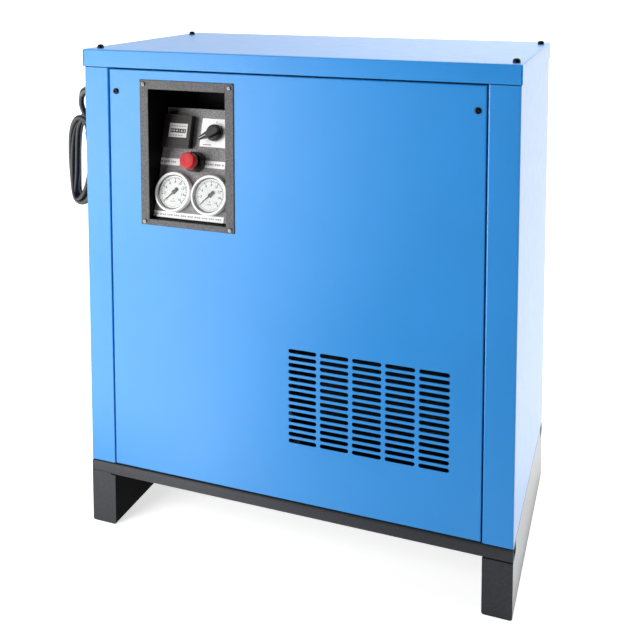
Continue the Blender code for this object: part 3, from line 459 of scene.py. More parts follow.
BRASS = metal("brass", (0.70, 0.50, 0.22), 0.30)
ALUMINIUM = metal("aluminium", (0.70, 0.71, 0.72), 0.38)
ENAMEL = coated("compressor_enamel", (0.012, 0.012, 0.013), 0.25, 4.0, 0.15, 0.8, 0.08)
# Near black, for the condenser's frame and fins and the fan's shroud, seen through the grille's slots.
FIN_BLACK = coated("near_black_fins", (0.018, 0.018, 0.019), 0.55, 1.5, 0.2, 0.4, 0.2)
FOAM = coated("black_foam", (0.022, 0.022, 0.023), 0.90, 1.2, 0.9, 0.5, 0.9)
RUBBER = coated("cable_rubber", (0.011, 0.011, 0.012), 0.40, 2.0, 0.25, 0.6, 0.3)
set_specular(RUBBER, 0.34)
# Dark blue for the strip in the joint under the lid's skirt: painted shade that deepens the shadow line
# there.
LID_PAINTED_SHADE = moulded("lid_painted_shade", (0.004, 0.022, 0.070), 0.8, 0.1)
YELLOW_SHEET = moulded("yellow_sheet", (0.80, 0.52, 0.02), 0.45, 0.05)
# Dark grey for the thin ring between a gauge's bright ring and its dial: painted shadow of the ring's inner
# edge.
GAUGE_SHADOW_GREY = moulded("gauge_shadow_ring", (0.10, 0.10, 0.10), 0.6, 0.05)
NEEDLE_BLACK = moulded("needle_black", (0.012, 0.012, 0.013), 0.45, 0.05)
RED_DARK = moulded("red_marks", (0.36, 0.006, 0.010), 0.35, 0.05)
ENCLOSURE = moulded("grey_enclosure", (0.48, 0.49, 0.49), 0.45)
HOSE = moulded("drain_hose", (0.28, 0.40, 0.50), 0.30)

# ---------------------------------------------------------------- CAD nodes that keep their shape

KEPT = {
    "skid_left": (CHARCOAL, 0.0006),
    "skid_right": (CHARCOAL, 0.0006),
    "base_front_beam": (CHARCOAL, 0.0005),
    "base_rear_beam": (CHARCOAL, 0.0005),
    "base_pan": (CHARCOAL, 0.0003),
    "top_lid": (BLUE, 0.0004),
    "control_recess": (RECESS_GREY, 0.0002),
    "control_plate": (PLATE_GREY, 0.0003),
    "gauge_lens_left": (LENS, 0.0001),
    "gauge_lens_right": (LENS, 0.0001),
    "switch_body": (ENCLOSURE, 0.0005),
    "stop_stem": (BLACK_PLASTIC, 0.0003),
    "stop_contact_block": (ENCLOSURE, 0.0005),
    "cable_gland": (BLACK_PLASTIC, 0.0003),
    "compressor_mount": (STEEL, 0.0004),
    "fan_shroud": (FIN_BLACK, 0.0003),
    "fan_motor": (ENAMEL, 0.0005),
    "heat_exchanger": (FOAM, 0.002),
    "moisture_separator": (ALUMINIUM, 0.0006),
    "drain_valve": (BRASS, 0.0003),
    "drain_valve_handle": (RED_PLASTIC, 0.0004),
    "drain_hose": (HOSE, 0.0001),
    "air_inlet_pipe": (BRASS, 0.0004),
    "air_outlet_pipe": (BRASS, 0.0004),
    "filter_drier": (COPPER, 0.0005),
    "hot_gas_valve": (BRASS, 0.0004),
    "discharge_line": (COPPER, 0.0001),
    "liquid_line": (COPPER, 0.0001),
    "capillary_line": (COPPER, 0.0001),
    "suction_line": (COPPER, 0.0001),
    "electrical_box": (ENCLOSURE, 0.001),
}
for node_name, (finish, edge) in KEPT.items():
    refine(node_name, finish, edge)


def paint_light_on_right_faces(name, material):
    """Gives a CAD node's faces that look to the right another material, which paints light or shade on them.
    """
    data = frame["nodes"][name].data
    data.materials.append(material)
    for face in data.polygons:
        if face.normal.x > 0.7:
            face.material_index = len(data.materials) - 1


def leg_weld():
    """The ground weld that joins the left leg to the front beam, up to a notch at the inner corner."""
    leg_low, leg_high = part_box("skid_left")
    beam_low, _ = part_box("base_front_beam")
    front, back, proud = beam_low.y, beam_low.y + 0.004, 0.00004
    bottom, top = beam_low.z - 0.0030, beam_low.z + 0.0026
    bead = [
        (back, bottom),
        (front + 0.00002, bottom),
        (front - proud, bottom + 0.0012),
        (front - proud, top - 0.0012),
        (front + 0.00002, top),
        (back, top),
    ]
    piece("leg_weld", prism(bead, leg_low.x + 0.0002, leg_high.x - 0.009, "X"), CHARCOAL, "cabinet")


# Painted shade on the left leg's inner face, painted sheen on the right leg's outer face.
paint_light_on_right_faces("skid_left", PAINTED_SHADE_BLACK)
paint_light_on_right_faces("skid_right", CHARCOAL_PAINTED_SHEEN)
leg_weld()

# ---------------------------------------------------------------- cabinet panels

TOP_GAP = 0.0009
GRILLE_ACROSS = 0.1447
GRILLE_UP = 0.18535
GRILLE_COLUMNS = 5
GRILLE_ROWS = 14
GRILLE_PITCH = (0.05625, 0.01204)
GRILLE_SLOT = (0.0500, 0.0071)
REAR_VENT_ACROSS = -0.150
REAR_VENT_UP = 0.1161
REAR_VENT_COLUMNS = 3
REAR_VENT_ROWS = 8
REAR_DRAIN_UP = 0.0411
GROOVE = (0.0019, 0.0014)  # height and depth of the groove under the lid's skirt


def slots(bm, centre, columns, rows, pitch, size, low, high):
    """Round-ended slots in a grid, as cutters along Y."""
    half = (size[0] - size[1]) / 2
    radius = size[1] / 2
    for i in range(columns):
        for j in range(rows):
            x = centre[0] + (i - (columns - 1) / 2) * pitch[0]
            z = centre[1] + (j - (rows - 1) / 2) * pitch[1]
            outline = arc((x + half, z), radius, -90, 90, 8) + arc((x - half, z), radius, 90, 270, 8)
            prism(outline, low, high, "Y", bm)


def folded_panel(name, low, high, facing):
    """A tray with its face towards facing (-1 front, 1 rear), returns behind it and rounded folds."""
    bm = block(low, high)
    face_y = low.y if facing < 0 else high.y
    folds = [e for e in bm.edges if all(abs(v.co.y - face_y) < 1e-5 for v in e.verts)]
    bmesh.ops.bevel(bm, geom=folds, offset=FOLD, segments=5, profile=0.5, affect="EDGES")
    panel = piece(name, bm, BLUE, None, smooth=30)
    near, far = (low.y + SHEET, high.y + PAST) if facing < 0 else (low.y - PAST, high.y - SHEET)
    hollow = block((low.x + SHEET, near, low.z + SHEET), (high.x - SHEET, far, high.z - SHEET))
    return cut(panel, hollow)


def front_panel():
    """The tilt-out service panel: grille low on the right, opening for the controls high on the left."""
    panel = folded_panel("front_panel_sheet", PANEL_LOW, PANEL_HIGH - Vector((0, 0, TOP_GAP)), -1)
    openings = bmesh.new()
    centre = ((PANEL_LOW.x + PANEL_HIGH.x) / 2 + GRILLE_ACROSS, PANEL_LOW.z + GRILLE_UP)
    near, far = PANEL_LOW.y - PAST, PANEL_LOW.y + PAST
    slots(openings, centre, GRILLE_COLUMNS, GRILLE_ROWS, GRILLE_PITCH, GRILLE_SLOT, near, far)
    low = (RECESS_LOW.x + 0.0131, RECESS_LOW.z + 0.0075)
    high = (RECESS_HIGH.x - 0.0131, RECESS_HIGH.z - 0.0133)
    prism(rounded_rectangle(low, high, 0.003), near, far, "Y", openings)
    for lock in ("panel_lock_left", "panel_lock_right"):
        middle = middle_of(lock)
        prism(circle(0.0033, (middle.x, middle.z), 24), near, far, "Y", openings)
    cut(panel, openings)
    settle(soften(panel, 0.00035, 2, 40), "service_panel", "front_panel")


def rear_panel():
    panel = folded_panel("rear_panel_sheet", REAR_LOW, REAR_HIGH, 1)
    openings = bmesh.new()
    near, far = REAR_HIGH.y - PAST, REAR_HIGH.y + PAST
    centre = (MIDDLE_X + REAR_VENT_ACROSS, REAR_LOW.z + REAR_VENT_UP)
    slots(openings, centre, REAR_VENT_COLUMNS, REAR_VENT_ROWS, GRILLE_PITCH, GRILLE_SLOT, near, far)
    for pipe in ("air_inlet_pipe", "air_outlet_pipe"):
        middle = middle_of(pipe)
        prism(circle(0.0150, (middle.x, middle.z), 40), near, far, "Y", openings)
    hole = circle(0.0075, (middle_of("drain_hose").x, REAR_LOW.z + REAR_DRAIN_UP), 32)
    prism(hole, near, far, "Y", openings)
    cut(panel, openings)
    settle(soften(panel, 0.00035, 2, 40), "cabinet", "rear_panel")


def side_panel(side):
    """The folded side sheet, with the step under the lid's skirt drawn as a groove round it."""
    node = "side_panel_" + side
    bm = bmesh.new()
    bm.from_mesh(frame["nodes"][node].data)
    bmesh.ops.remove_doubles(bm, verts=bm.verts, dist=1e-5)
    panel = piece("side_sheet_" + side, bm, BLUE, None)
    low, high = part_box(node)
    bottom, top = LID_LOW.z - GROOVE[0], LID_LOW.z + 0.0003
    depth = GROOVE[1]
    left, right, front, rear = low.x - PAST, high.x + PAST, FRONT_Y - PAST, REAR_Y + PAST
    cut(panel, block((left, front, bottom), (right, FRONT_Y + depth, top)))
    outer = (left, low.x + depth) if side == "left" else (high.x - depth, right)
    cut(panel, block((outer[0], front, bottom), (outer[1], rear, top)))
    cut(panel, block((left, REAR_Y - depth, bottom), (right, rear, top)))
    settle(soften(panel, 0.0002, 2, 40), "cabinet", node)
    lid_shadow_strip(side, low, high)


def lid_shadow_strip(side, low, high):
    """A dark strip in the joint under the lid's skirt, set back from the sheet's face: painted shade that
    deepens the skirt's shadow line.
    """
    height, depth = GROOVE
    bottom, top, inset = LID_LOW.z - height, LID_LOW.z, depth - 0.0005
    left, right, front, rear = low.x + inset, high.x - inset, FRONT_Y + inset, REAR_Y - inset
    strip = block((left, front, bottom), (right, FRONT_Y + depth, top))
    outer = (left, low.x + depth) if side == "left" else (high.x - depth, right)
    block((outer[0], FRONT_Y + depth, bottom), (outer[1], rear, top), strip)
    piece("lid_shadow_strip_" + side, strip, LID_PAINTED_SHADE, "cabinet")


front_panel()
rear_panel()
side_panel("left")
side_panel("right")

# ---------------------------------------------------------------- screws and locks


def head_matrix(node, outward):
    """A frame with +Z out of a screw's head, at the plane under the head."""
    low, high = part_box(node)
    middle = middle_of(node)
    if outward == "front":
        return Matrix.Translation((middle.x, low.y, middle.z)) @ TO_FRONT
    return Matrix.Translation((middle.x, middle.y, high.z))


def screw(node, outward, height, material, body, cross, turn=0.0):
    """A domed head with a cross recess or a hex socket, and its shank."""
    low, high = local_box(node, head_matrix(node, outward))
    radius = (high.y - low.y) / 2
    under = -height
    profile = [
        (0, low.z),
        (radius * 0.48, low.z),
        (radius * 0.48, under),
        (radius, under),
        (radius, under + height * 0.35),
        (radius * 0.93, under + height * 0.68),
        (radius * 0.76, under + height * 0.90),
        (radius * 0.55, 0),
        (0, 0),
    ]
    head = piece(node + "_head", turned(profile, 32), material, None, smooth=40)
    if cross:
        for across, up in ((0.58, 0.11), (0.11, 0.58)):
            x, y = radius * across, radius * up
            cut(head, block((-x, -y, -height * 0.6), (x, y, PAST)))
    else:
        cut(head, prism(circle(radius * 0.50, steps=6), -height * 0.75, PAST))
    head.data.transform(head_matrix(node, outward) @ Matrix.Rotation(turn, 4, "Z"))
    settle(soften(head, 0.0001, 1, 50), body, node)


def fasteners():
    for corner in ("front_left", "front_right", "rear_left", "rear_right"):
        screw("lid_screw_" + corner, "up", 0.0060, BLACK_STEEL, "cabinet", False, 0.3)
    turns = {"bottom_left": 0.2, "bottom_right": 0.6, "top_left": 0.9, "top_right": 0.4}
    for corner, turn in turns.items():
        screw("bezel_screw_" + corner, "front", 0.0022, DULL_NICKEL, "service_panel", True, turn)
    for side in ("left", "right"):
        screw("panel_lock_" + side, "front", 0.0033, BLACK_STEEL, side + "_lock", False)


fasteners()

# ---------------------------------------------------------------- controls

PLATE = plate_frame(Vector(JOINTS["stop_release_twist"]["pos_m"]))
INK = 0.00006  # how far a print stands off its face
METER_TRIM = (0.0012, 0.0034)  # how much further out the left edge is, and further in the right one


def on_plate(node):
    """A frame on the control plate's face behind the middle of a control, and that control's box in it."""
    low, high = local_box(node, PLATE)
    middle = (low + high) / 2
    place = PLATE @ Matrix.Translation((middle.x, middle.y, 0))
    return place, local_box(node, place)


def numeral(text, size, centre, height, bm):
    """Adds a number to a print, standing on the dial at a height."""
    curve = bpy.data.curves.new("numeral", "FONT")
    curve.body = text
    curve.size = size
    curve.align_x = "CENTER"
    curve.align_y = "CENTER"
    curve.extrude = 0.00003
    curve.offset = size * 0.012
    helper = bpy.data.objects.new("numeral", curve)
    bpy.context.scene.collection.objects.link(helper)
    graph = bpy.context.evaluated_depsgraph_get()
    mesh = bpy.data.meshes.new_from_object(helper.evaluated_get(graph))
    mesh.transform(Matrix.Translation((centre[0], centre[1], height)))
    bm.from_mesh(mesh)
    bpy.data.objects.remove(helper)
    bpy.data.curves.remove(curve)
    bpy.data.meshes.remove(mesh)


def dial_print(top):
    """Scale of a round dial: 270 degrees from lower left to lower right, numbered in even steps."""
    bm = bmesh.new()
    for i in range(41):
        angle = math.radians(225 - 270 * i / 40)
        major = i % 5 == 0
        inner = 0.0213 if major else 0.0230
        half = 0.00068 if major else 0.00034
        along = Vector((math.cos(angle), math.sin(angle)))
        side = Vector((-along.y, along.x)) * half
        ends = (along * inner, along * 0.0252)
        outline = [ends[0] - side, ends[1] - side, ends[1] + side, ends[0] + side]
        prism([tuple(p) for p in outline], top, top + INK, "Z", bm)
        if major:
            where = along * 0.0178
            numeral(str(2 * (i // 5)), 0.0062, (where.x, where.y), top + 0.00003, bm)
    ring = [(0.0252, top), (0.0252, top + INK), (0.0255, top + INK), (0.0255, top)]
    turned(ring, 72, True, bm)
    prism(circle(0.0009, (0, -0.0115), 16), top, top + INK, "Z", bm)
    block((-0.0045, -0.0165, top), (0.0045, -0.0158, top + INK), bm)
    return bm


def gauge(side):
    """A pressure gauge: satin ring, can behind the plate, white dial, black needle."""
    case = "gauge_case_" + side
    place, (low, high) = on_plate(case)
    rim, bore, proud = (high.x - low.x) / 2, 0.0300, high.z
    ring = [
        (bore, 0.0036),
        (bore, proud - 0.0030),
        (bore + 0.0004, proud - 0.0012),
        (bore + 0.0012, proud - 0.0003),
        (bore + 0.0022, proud),
        (rim - 0.0014, proud - 0.0003),
        (rim - 0.0004, proud - 0.0014),
        (rim, proud - 0.0030),
        (rim, 0.0010),
        (rim - 0.0006, 0.0004),
        (bore, 0.0004),
    ]
    piece("gauge_ring_" + side, turned(ring, 96, True), RING, "service_panel", place, 30, case)
    can = [
        (0, low.z),
        (0.0060, low.z),
        (0.0060, low.z + 0.012),
        (0.0295, low.z + 0.012),
        (0.0310, low.z + 0.0135),
        (0.0310, 0.0034),
        (0, 0.0034),
    ]
    piece("gauge_can_" + side, turned(can, 64), BLACK_STEEL, "service_panel", place, 30, case)
    top, edge = 0.0048, bore - 0.0001
    face = turned([(0, 0.0036), (edge, 0.0036), (edge, top + 0.0012), (0.0283, top), (0, top)], 96)
    piece("gauge_face_" + side, face, DIAL_WHITE, "service_panel", place, 20, "gauge_dial_" + side)
    # Painted shadow: a thin dark ring where the bright ring's inner edge shades the dial.
    under, over = top + 0.0004, top + 0.0014
    shadow_ring_profile = [(0.0286, under), (0.0286, over), (0.0299, over), (0.0299, under)]
    piece("gauge_shadow_ring_" + side, turned(shadow_ring_profile, 72, True), GAUGE_SHADOW_GREY, "service_panel", place, 30)
    piece("gauge_scale_" + side, dial_print(top), PRINT_BLACK, "service_panel", place)
    turn = place @ Matrix.Rotation(math.radians(225), 4, "Z")
    low = top + 0.0012
    half = [
        (0.0225, 0.0004),
        (0.0060, 0.0011),
        (-0.0030, 0.0013),
        (-0.0042, 0.0032),
        (-0.0088, 0.0032),
        (-0.0098, 0.0016),
    ]
    pointer = prism(half + [(u, -v) for u, v in reversed(half)], low, low + 0.0004)
    hub = [
        (0, low - 0.0008),
        (0.0036, low - 0.0008),
        (0.0038, low + 0.0004),
        (0.0034, low + 0.0010),
        (0.0018, low + 0.0013),
        (0, low + 0.0013),
    ]
    shown = {"body": side + "_needle", "matrix": turn, "shows": "gauge_needle_" + side}
    piece("needle_pointer_" + side, pointer, NEEDLE_BLACK, **shown)
    piece("needle_hub_" + side, turned(hub, 24), NEEDLE_BLACK, **shown)


def hour_meter():
    """Square counter: dark frame, light display with a number row."""
    place, (low, high) = on_plate("hour_meter")
    w, h, proud, under = (high.x - low.x) / 2, (high.y - low.y) / 2, high.z, low.z
    left_edge, right_edge = -w - METER_TRIM[0], w - METER_TRIM[1]
    outline = rounded_rectangle((left_edge, -h), (right_edge, h), 0.002, 5)
    body = piece("meter_frame", prism(outline, 0.0003, proud), METER_PLASTIC, None)
    left, right, bottom, top = -0.0183, 0.0183, -0.0117, 0.0137
    cut(body, block((left, bottom, proud - 0.0018), (right, top, proud + PAST)))
    rim = 0.0035
    field = rounded_rectangle((left_edge + rim, -h + rim), (right_edge - rim, h - rim), 0.001, 2)
    cut(body, prism(field, proud - 0.0004, proud + PAST))
    body.data.transform(place)
    settle(soften(body, 0.0005), "service_panel", "hour_meter")
    rear = block((-0.0225, -0.0225, under), (0.0225, 0.0225, 0.0002))
    soften(piece("meter_can", rear, BLACK_PLASTIC, "service_panel", place, shows="hour_meter"), 0.001)
    level = proud - 0.0017
    face = block((left + 0.0003, bottom + 0.0003, level - 0.0004), (right - 0.0003, top - 0.0003, level))
    piece("meter_display", face, LCD_GREY, "service_panel", place)
    dark = block((left + 0.0030, -0.0032, level), (right - 0.0030, 0.0040, level + 0.0002))
    for i in range(6):
        x = left + 0.0052 + i * 0.0053
        block((x - 0.00008, -0.0032, level), (x + 0.00008, 0.0040, level + 0.0003), dark)
    piece("meter_drums", dark, PRINT_BLACK, "service_panel", place)
    digits = bmesh.new()
    for i, text in enumerate("004162"):
        numeral(text, 0.0058, (left + 0.0057 + i * 0.0050, 0.0004), level + 0.00026, digits)
    piece("meter_digits", digits, WHITE_SHEET, "service_panel", place)
    bars = bmesh.new()
    for y, count in ((0.0088, 6), (-0.0078, 5)):
        for i in range(count):
            x = -0.0150 + i * 0.0052
            block((x, y - 0.0012, level), (x + 0.0038, y + 0.0012, level + INK), bars)
    piece("meter_marks", bars, PRINT_GREY, "service_panel", place)


def switch():
    """Rotary switch: white scale plate, black knob with a long lever."""
    place, (low, high) = on_plate("switch_plate")
    half = (high.x - low.x) / 2 + 0.0008
    plate = prism(rounded_rectangle((-half - 0.0034, -half), (half, half), 0.002, 5), 0.0003, 0.0018)
    shown = {"body": "service_panel", "matrix": place, "shows": "switch_plate"}
    soften(piece("switch_scale_plate", plate, WHITE_SHEET, **shown), 0.0003)
    marks = bmesh.new()
    numeral("1", 0.0060, (0.0, 0.0195), 0.00185, marks)
    numeral("0", 0.0060, (0.0200, 0.0), 0.00185, marks)
    for i in range(4):
        x = -0.0215 + i * 0.0040
        block((x, -0.0222, 0.0018), (x + 0.0030, -0.0208, 0.0018 + INK), marks)
    piece("switch_marks", marks, PRINT_BLACK, "service_panel", place)
    knob_place = plate_frame(Vector(JOINTS["selector_turn"]["pos_m"]))
    disc = [
        (0, 0.0022),
        (0.0148, 0.0022),
        (0.0150, 0.0028),
        (0.0147, 0.0105),
        (0.0138, 0.0118),
        (0.0100, 0.0124),
        (0, 0.0124),
    ]
    piece("selector_disc", turned(disc, 64), CONTROL_BLACK, "selector", knob_place, 30, "switch_knob")
    turn = knob_place @ Matrix.Rotation(math.radians(29), 4, "Z")
    edge = [(-0.0285, 0.0012), (-0.0270, 0.0022), (-0.0150, 0.0050), (-0.0060, 0.0064)]
    lever = [(u, -v) for u, v in edge] + arc((0.0070, 0), 0.0064, -90, 90, 10) + edge[::-1]
    handle = prism(lever, 0.0120, 0.0205)
    soften(piece("selector_lever", handle, CONTROL_BLACK, "selector", turn, shows="switch_knob"), 0.0014, 3)
    mark = block((-0.0265, -0.0004, 0.0205), (-0.0120, 0.0004, 0.0205 + INK))
    piece("selector_mark", mark, WHITE_SHEET, "selector", turn)


def stop_button():
    """Stop button: octagonal collar, red head with a ring and turning arrows."""
    place, (_, high) = on_plate("stop_collar")
    height = high.z
    reach = high.x / math.cos(math.pi / 8)
    octagon = prism(arc((0, 0), reach, 22.5, 337.5, 7), 0.0003, height - 0.0035)
    collar = baked(soften(piece("stop_collar_body", octagon, CONTROL_BLACK, None), 0.0008, 3))
    cut(collar, prism(circle(0.0080, steps=48), -PAST, 5 * PAST))
    collar.data.transform(place)
    settle(collar, "service_panel", "stop_collar")
    lip = [
        (0.0081, height - 0.0040),
        (0.0168, height - 0.0040),
        (0.0166, height - 0.0014),
        (0.0160, height - 0.0004),
        (0.0150, height),
        (0.0081, height),
    ]
    lip_ring = turned(lip, 64, True)
    piece("stop_collar_lip", lip_ring, CONTROL_BLACK, "service_panel", place, 30, "stop_collar")
    _, (low, high) = on_plate("stop_head")
    radius, top, under = 0.0145, high.z, low.z
    head = [
        (0, under + 0.0075),
        (0.0079, under + 0.0075),
        (0.0079, under),
        (radius - 0.0010, under),
        (radius, under + 0.0012),
        (radius, top - 0.0026),
        (radius - 0.0004, top - 0.0013),
        (radius - 0.0013, top - 0.0004),
        (radius - 0.0026, top),
        (0.0100, top),
        (0.0097, top - 0.0005),
        (0.0088, top - 0.0005),
        (0.0085, top),
        (0.0052, top),
        (0.0048, top - 0.0004),
        (0, top - 0.0004),
    ]
    piece("stop_mushroom", turned(head, 72), RED_PLASTIC, "stop_cap", place, 30, "stop_head")
    arrows = bmesh.new()
    for start in (0, 120, 240):
        end = start + 62
        outer = arc((0, 0), 0.0080, start, end, 8)
        inner = arc((0, 0), 0.0062, end, start, 8)
        tip = [polar(0.0086, end), polar(0.0071, end + 26), polar(0.0056, end)]
        prism(outer + tip + inner, top - 0.0002, top + 0.00012, "Z", arrows)
    piece("stop_arrows", arrows, RED_DARK, "stop_cap", place)


def label(name, left, right, bottom, top, dashes, seed):
    """A white strip on the plate with a row of plain dashes where printing would be."""
    strip = prism(rounded_rectangle((left, bottom), (right, top), 0.0004, 2), 0.0002, 0.0006)
    piece(name, strip, WHITE_SHEET, "service_panel", PLATE)
    marks = bmesh.new()
    x = left + 0.0020
    middle = (bottom + top) / 2
    high = (top - bottom) * 0.13
    for i in range(dashes):
        width = 0.0022 + 0.0016 * ((i * 7 + seed * 3) % 5) / 4
        if x + width > right - 0.0015:
            break
        block((x, middle - high, 0.0006), (x + width, middle + high, 0.0006 + INK), marks)
        x += width + (0.0010 if (i + seed) % 3 else 0.0026)
    piece(name + "_marks", marks, PRINT_GREY, "service_panel", PLATE)


def bezel_seams():
    """Joint lines of the folded recess, where its side flanges run past the top and bottom ones."""
    seams = bmesh.new()
    face = RECESS_LOW.y
    lower, upper = RECESS_LOW.z + 0.0096, RECESS_HIGH.z - 0.0154
    for x in (RECESS_LOW.x + 0.0148, RECESS_HIGH.x - 0.0148):
        for low, high in ((RECESS_LOW.z, lower), (upper, RECESS_HIGH.z)):
            block((x - 0.0004, face - INK, low), (x + 0.0004, face + 0.0003, high), seams)
    piece("bezel_seam_lines", seams, PRINT_BLACK, "service_panel")


def bezel_dark_line():
    """A thin black line round the flange of the recess."""
    inner, outer = 0.00005, 0.0007
    bead = bmesh.new()
    low, high = RECESS_LOW, RECESS_HIGH
    depth = (low.y + 0.0003, PANEL_LOW.y - 0.00002)
    for x in ((low.x - outer, low.x - inner), (high.x + inner, high.x + outer)):
        block((x[0], depth[0], low.z - outer), (x[1], depth[1], high.z + outer), bead)
    for z in ((low.z - outer, low.z - inner), (high.z + inner, high.z + outer)):
        block((low.x - inner, depth[0], z[0]), (high.x + inner, depth[1], z[1]), bead)
    piece("bezel_dark_line", bead, RUBBER, "service_panel")


def controls():
    bezel_seams()
    bezel_dark_line()
    gauge("left")
    gauge("right")
    hour_meter()
    switch()
    stop_button()
    bottom = local_box("control_plate", PLATE)[0].y
    left = local_box("gauge_case_left", PLATE)[0].x
    right = local_box("gauge_case_right", PLATE)[1].x
    label("label_gauges", left - 0.0040, right - 0.0060, bottom + 0.0002, bottom + 0.0105, 40, 1)
    label("label_stop_left", -0.0760, -0.0330, -0.0086, 0.0036, 8, 2)
    label("label_stop_right", 0.0150, 0.0560, -0.0084, 0.0042, 8, 3)


controls()

# ---------------------------------------------------------------- power cable


def smooth_path(points, steps=8):
    """Catmull-Rom curve through points."""
    points = [Vector(p) for p in points]
    extended = [2 * points[0] - points[1]] + points + [2 * points[-1] - points[-2]]
    path = []
    for a, b, c, d in zip(extended, extended[1:], extended[2:], extended[3:]):
        for i in range(steps):
            t = i / steps
            bend = (2 * a - 5 * b + 4 * c - d) * t * t + (3 * b - a - 3 * c + d) * t**3
            path.append(0.5 * (2 * b + (c - a) * t + bend))
    path.append(points[-1])
    return path


def swept(path, radius, segments=16, bm=None):
    """A round tube along a path, closed at both ends."""
    bm = bm or bmesh.new()
    rings = []
    side = None
    for i, point in enumerate(path):
        along = (path[min(i + 1, len(path) - 1)] - path[max(i - 1, 0)]).normalized()
        if side is None:
            side = along.orthogonal().normalized()
        side = (side - along * side.dot(along)).normalized()
        other = along.cross(side)
        width = radius[i] if isinstance(radius, list) else radius
        angles = [math.tau * j / segments for j in range(segments)]
        spokes = [side * math.cos(a) + other * math.sin(a) for a in angles]
        rings.append([bm.verts.new(point + spoke * width) for spoke in spokes])
    for lower, upper in zip(rings, rings[1:]):
        for j in range(segments):
            k = (j + 1) % segments
            bm.faces.new((lower[j], lower[k], upper[k], upper[j]))
    bm.faces.new(rings[0][::-1])
    bm.faces.new(rings[-1])
    return bm


FULLNESS = 0.84  # below 1, a turn of the coil is fuller than an ellipse
LEAN = (0.0050, 0.0160)  # how far the bottom of the outermost and the innermost turn hangs outwards


def power_cable():
    """One lead from the gland, coiled in nested turns and hung on the left side."""
    low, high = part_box("power_cable")
    gland_low, gland_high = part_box("cable_gland")
    mouth = middle_of("cable_gland")
    mouth.x = gland_low.x - 0.002
    points = [(high.x, mouth.y, mouth.z), (gland_high.x, mouth.y, mouth.z), mouth]
    wall = LEFT_LOW.x
    points += [
        (wall - 0.0395, mouth.y + 0.001, mouth.z - 0.007),
        (wall - 0.0455, mouth.y + 0.004, mouth.z - 0.027),
        (wall - 0.0415, mouth.y + 0.008, mouth.z - 0.047),
        (wall - 0.0345, mouth.y + 0.014, mouth.z - 0.066),
    ]
    centre = Vector((wall - 0.0500, mouth.y + 0.018, low.z + 0.0780))
    # Each turn's half width, half height and place along the wall
    turns = [
        (0.0330, 0.0830, 0.008),
        (0.0255, 0.0805, 0.000),
        (0.0352, 0.0820, -0.010),
        (0.0295, 0.0815, 0.018),
        (0.0225, 0.0790, 0.006),
        (0.0182, 0.0770, -0.003),
    ]
    steps = 14
    for i, turn in enumerate(turns):
        following = turns[min(i + 1, len(turns) - 1)]
        hang = LEAN[0] + (LEAN[1] - LEAN[0]) * i / (len(turns) - 1)
        for j in range(steps):
            blend = j / steps
            across, up, back = [a * (1 - blend) + b * blend for a, b in zip(turn, following)]
            circular = polar(1, 70 + 360 * blend)
            over, rise = [math.copysign(abs(v) ** FULLNESS, v) for v in circular]
            x = across * over - hang * min(rise, 0) ** 2
            points.append(centre + Vector((x, back - 0.006 * over, up * rise)))
    points.append(centre + Vector((0.0100, 0.020, 0.0600)))
    points.append(centre + Vector((0.0200, 0.028, 0.0350)))
    lead = swept(smooth_path(points, 4), 0.0050)
    piece("cable_lead", lead, RUBBER, "cabinet", smooth=60, shows="power_cable")
    boot_path = smooth_path([mouth + Vector((0.002, 0, 0)), mouth] + points[3:5], 6)[:-4]
    widths = [0.0098 - 0.0040 * i / (len(boot_path) - 1) for i in range(len(boot_path))]
    piece("cable_boot", swept(boot_path, widths, 20), BLACK_PLASTIC, "cabinet", None, 60)


power_cable()

# ---------------------------------------------------------------- refrigeration and air circuit


def condenser():
    """Tube-and-fin condenser: a frame, thin fins and two rows of straight tubes."""
    low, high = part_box("condenser")
    plates = bmesh.new()
    for x in (low.x, high.x - 0.002):
        block((x, low.y, low.z), (x + 0.002, high.y, high.z), plates)
    for z in (low.z, high.z - 0.002):
        block((low.x, low.y, z), (high.x, high.y, z + 0.002), plates)
    soften(piece("condenser_frame", plates, FIN_BLACK, "cabinet", shows="condenser"), 0.0003)
    fins = bmesh.new()
    x = low.x + 0.0035
    while x < high.x - 0.0030:
        block((x, low.y + 0.001, low.z + 0.002), (x + 0.0003, high.y - 0.001, high.z - 0.002), fins)
        x += 0.0021
    piece("condenser_fins", fins, FIN_BLACK, "cabinet", shows="condenser")
    tubes = bmesh.new()
    rows = 9
    pitch = (high.z - low.z - 0.030) / (rows - 1)
    for y in (low.y + 0.0100, high.y - 0.0100):
        for i in range(rows):
            z = low.z + 0.015 + i * pitch
            swept([Vector((low.x + 0.0005, y, z)), Vector((high.x - 0.0005, y, z))], 0.0045, 12, tubes)
    piece("condenser_tubes", tubes, COPPER, "cabinet", shows="condenser")


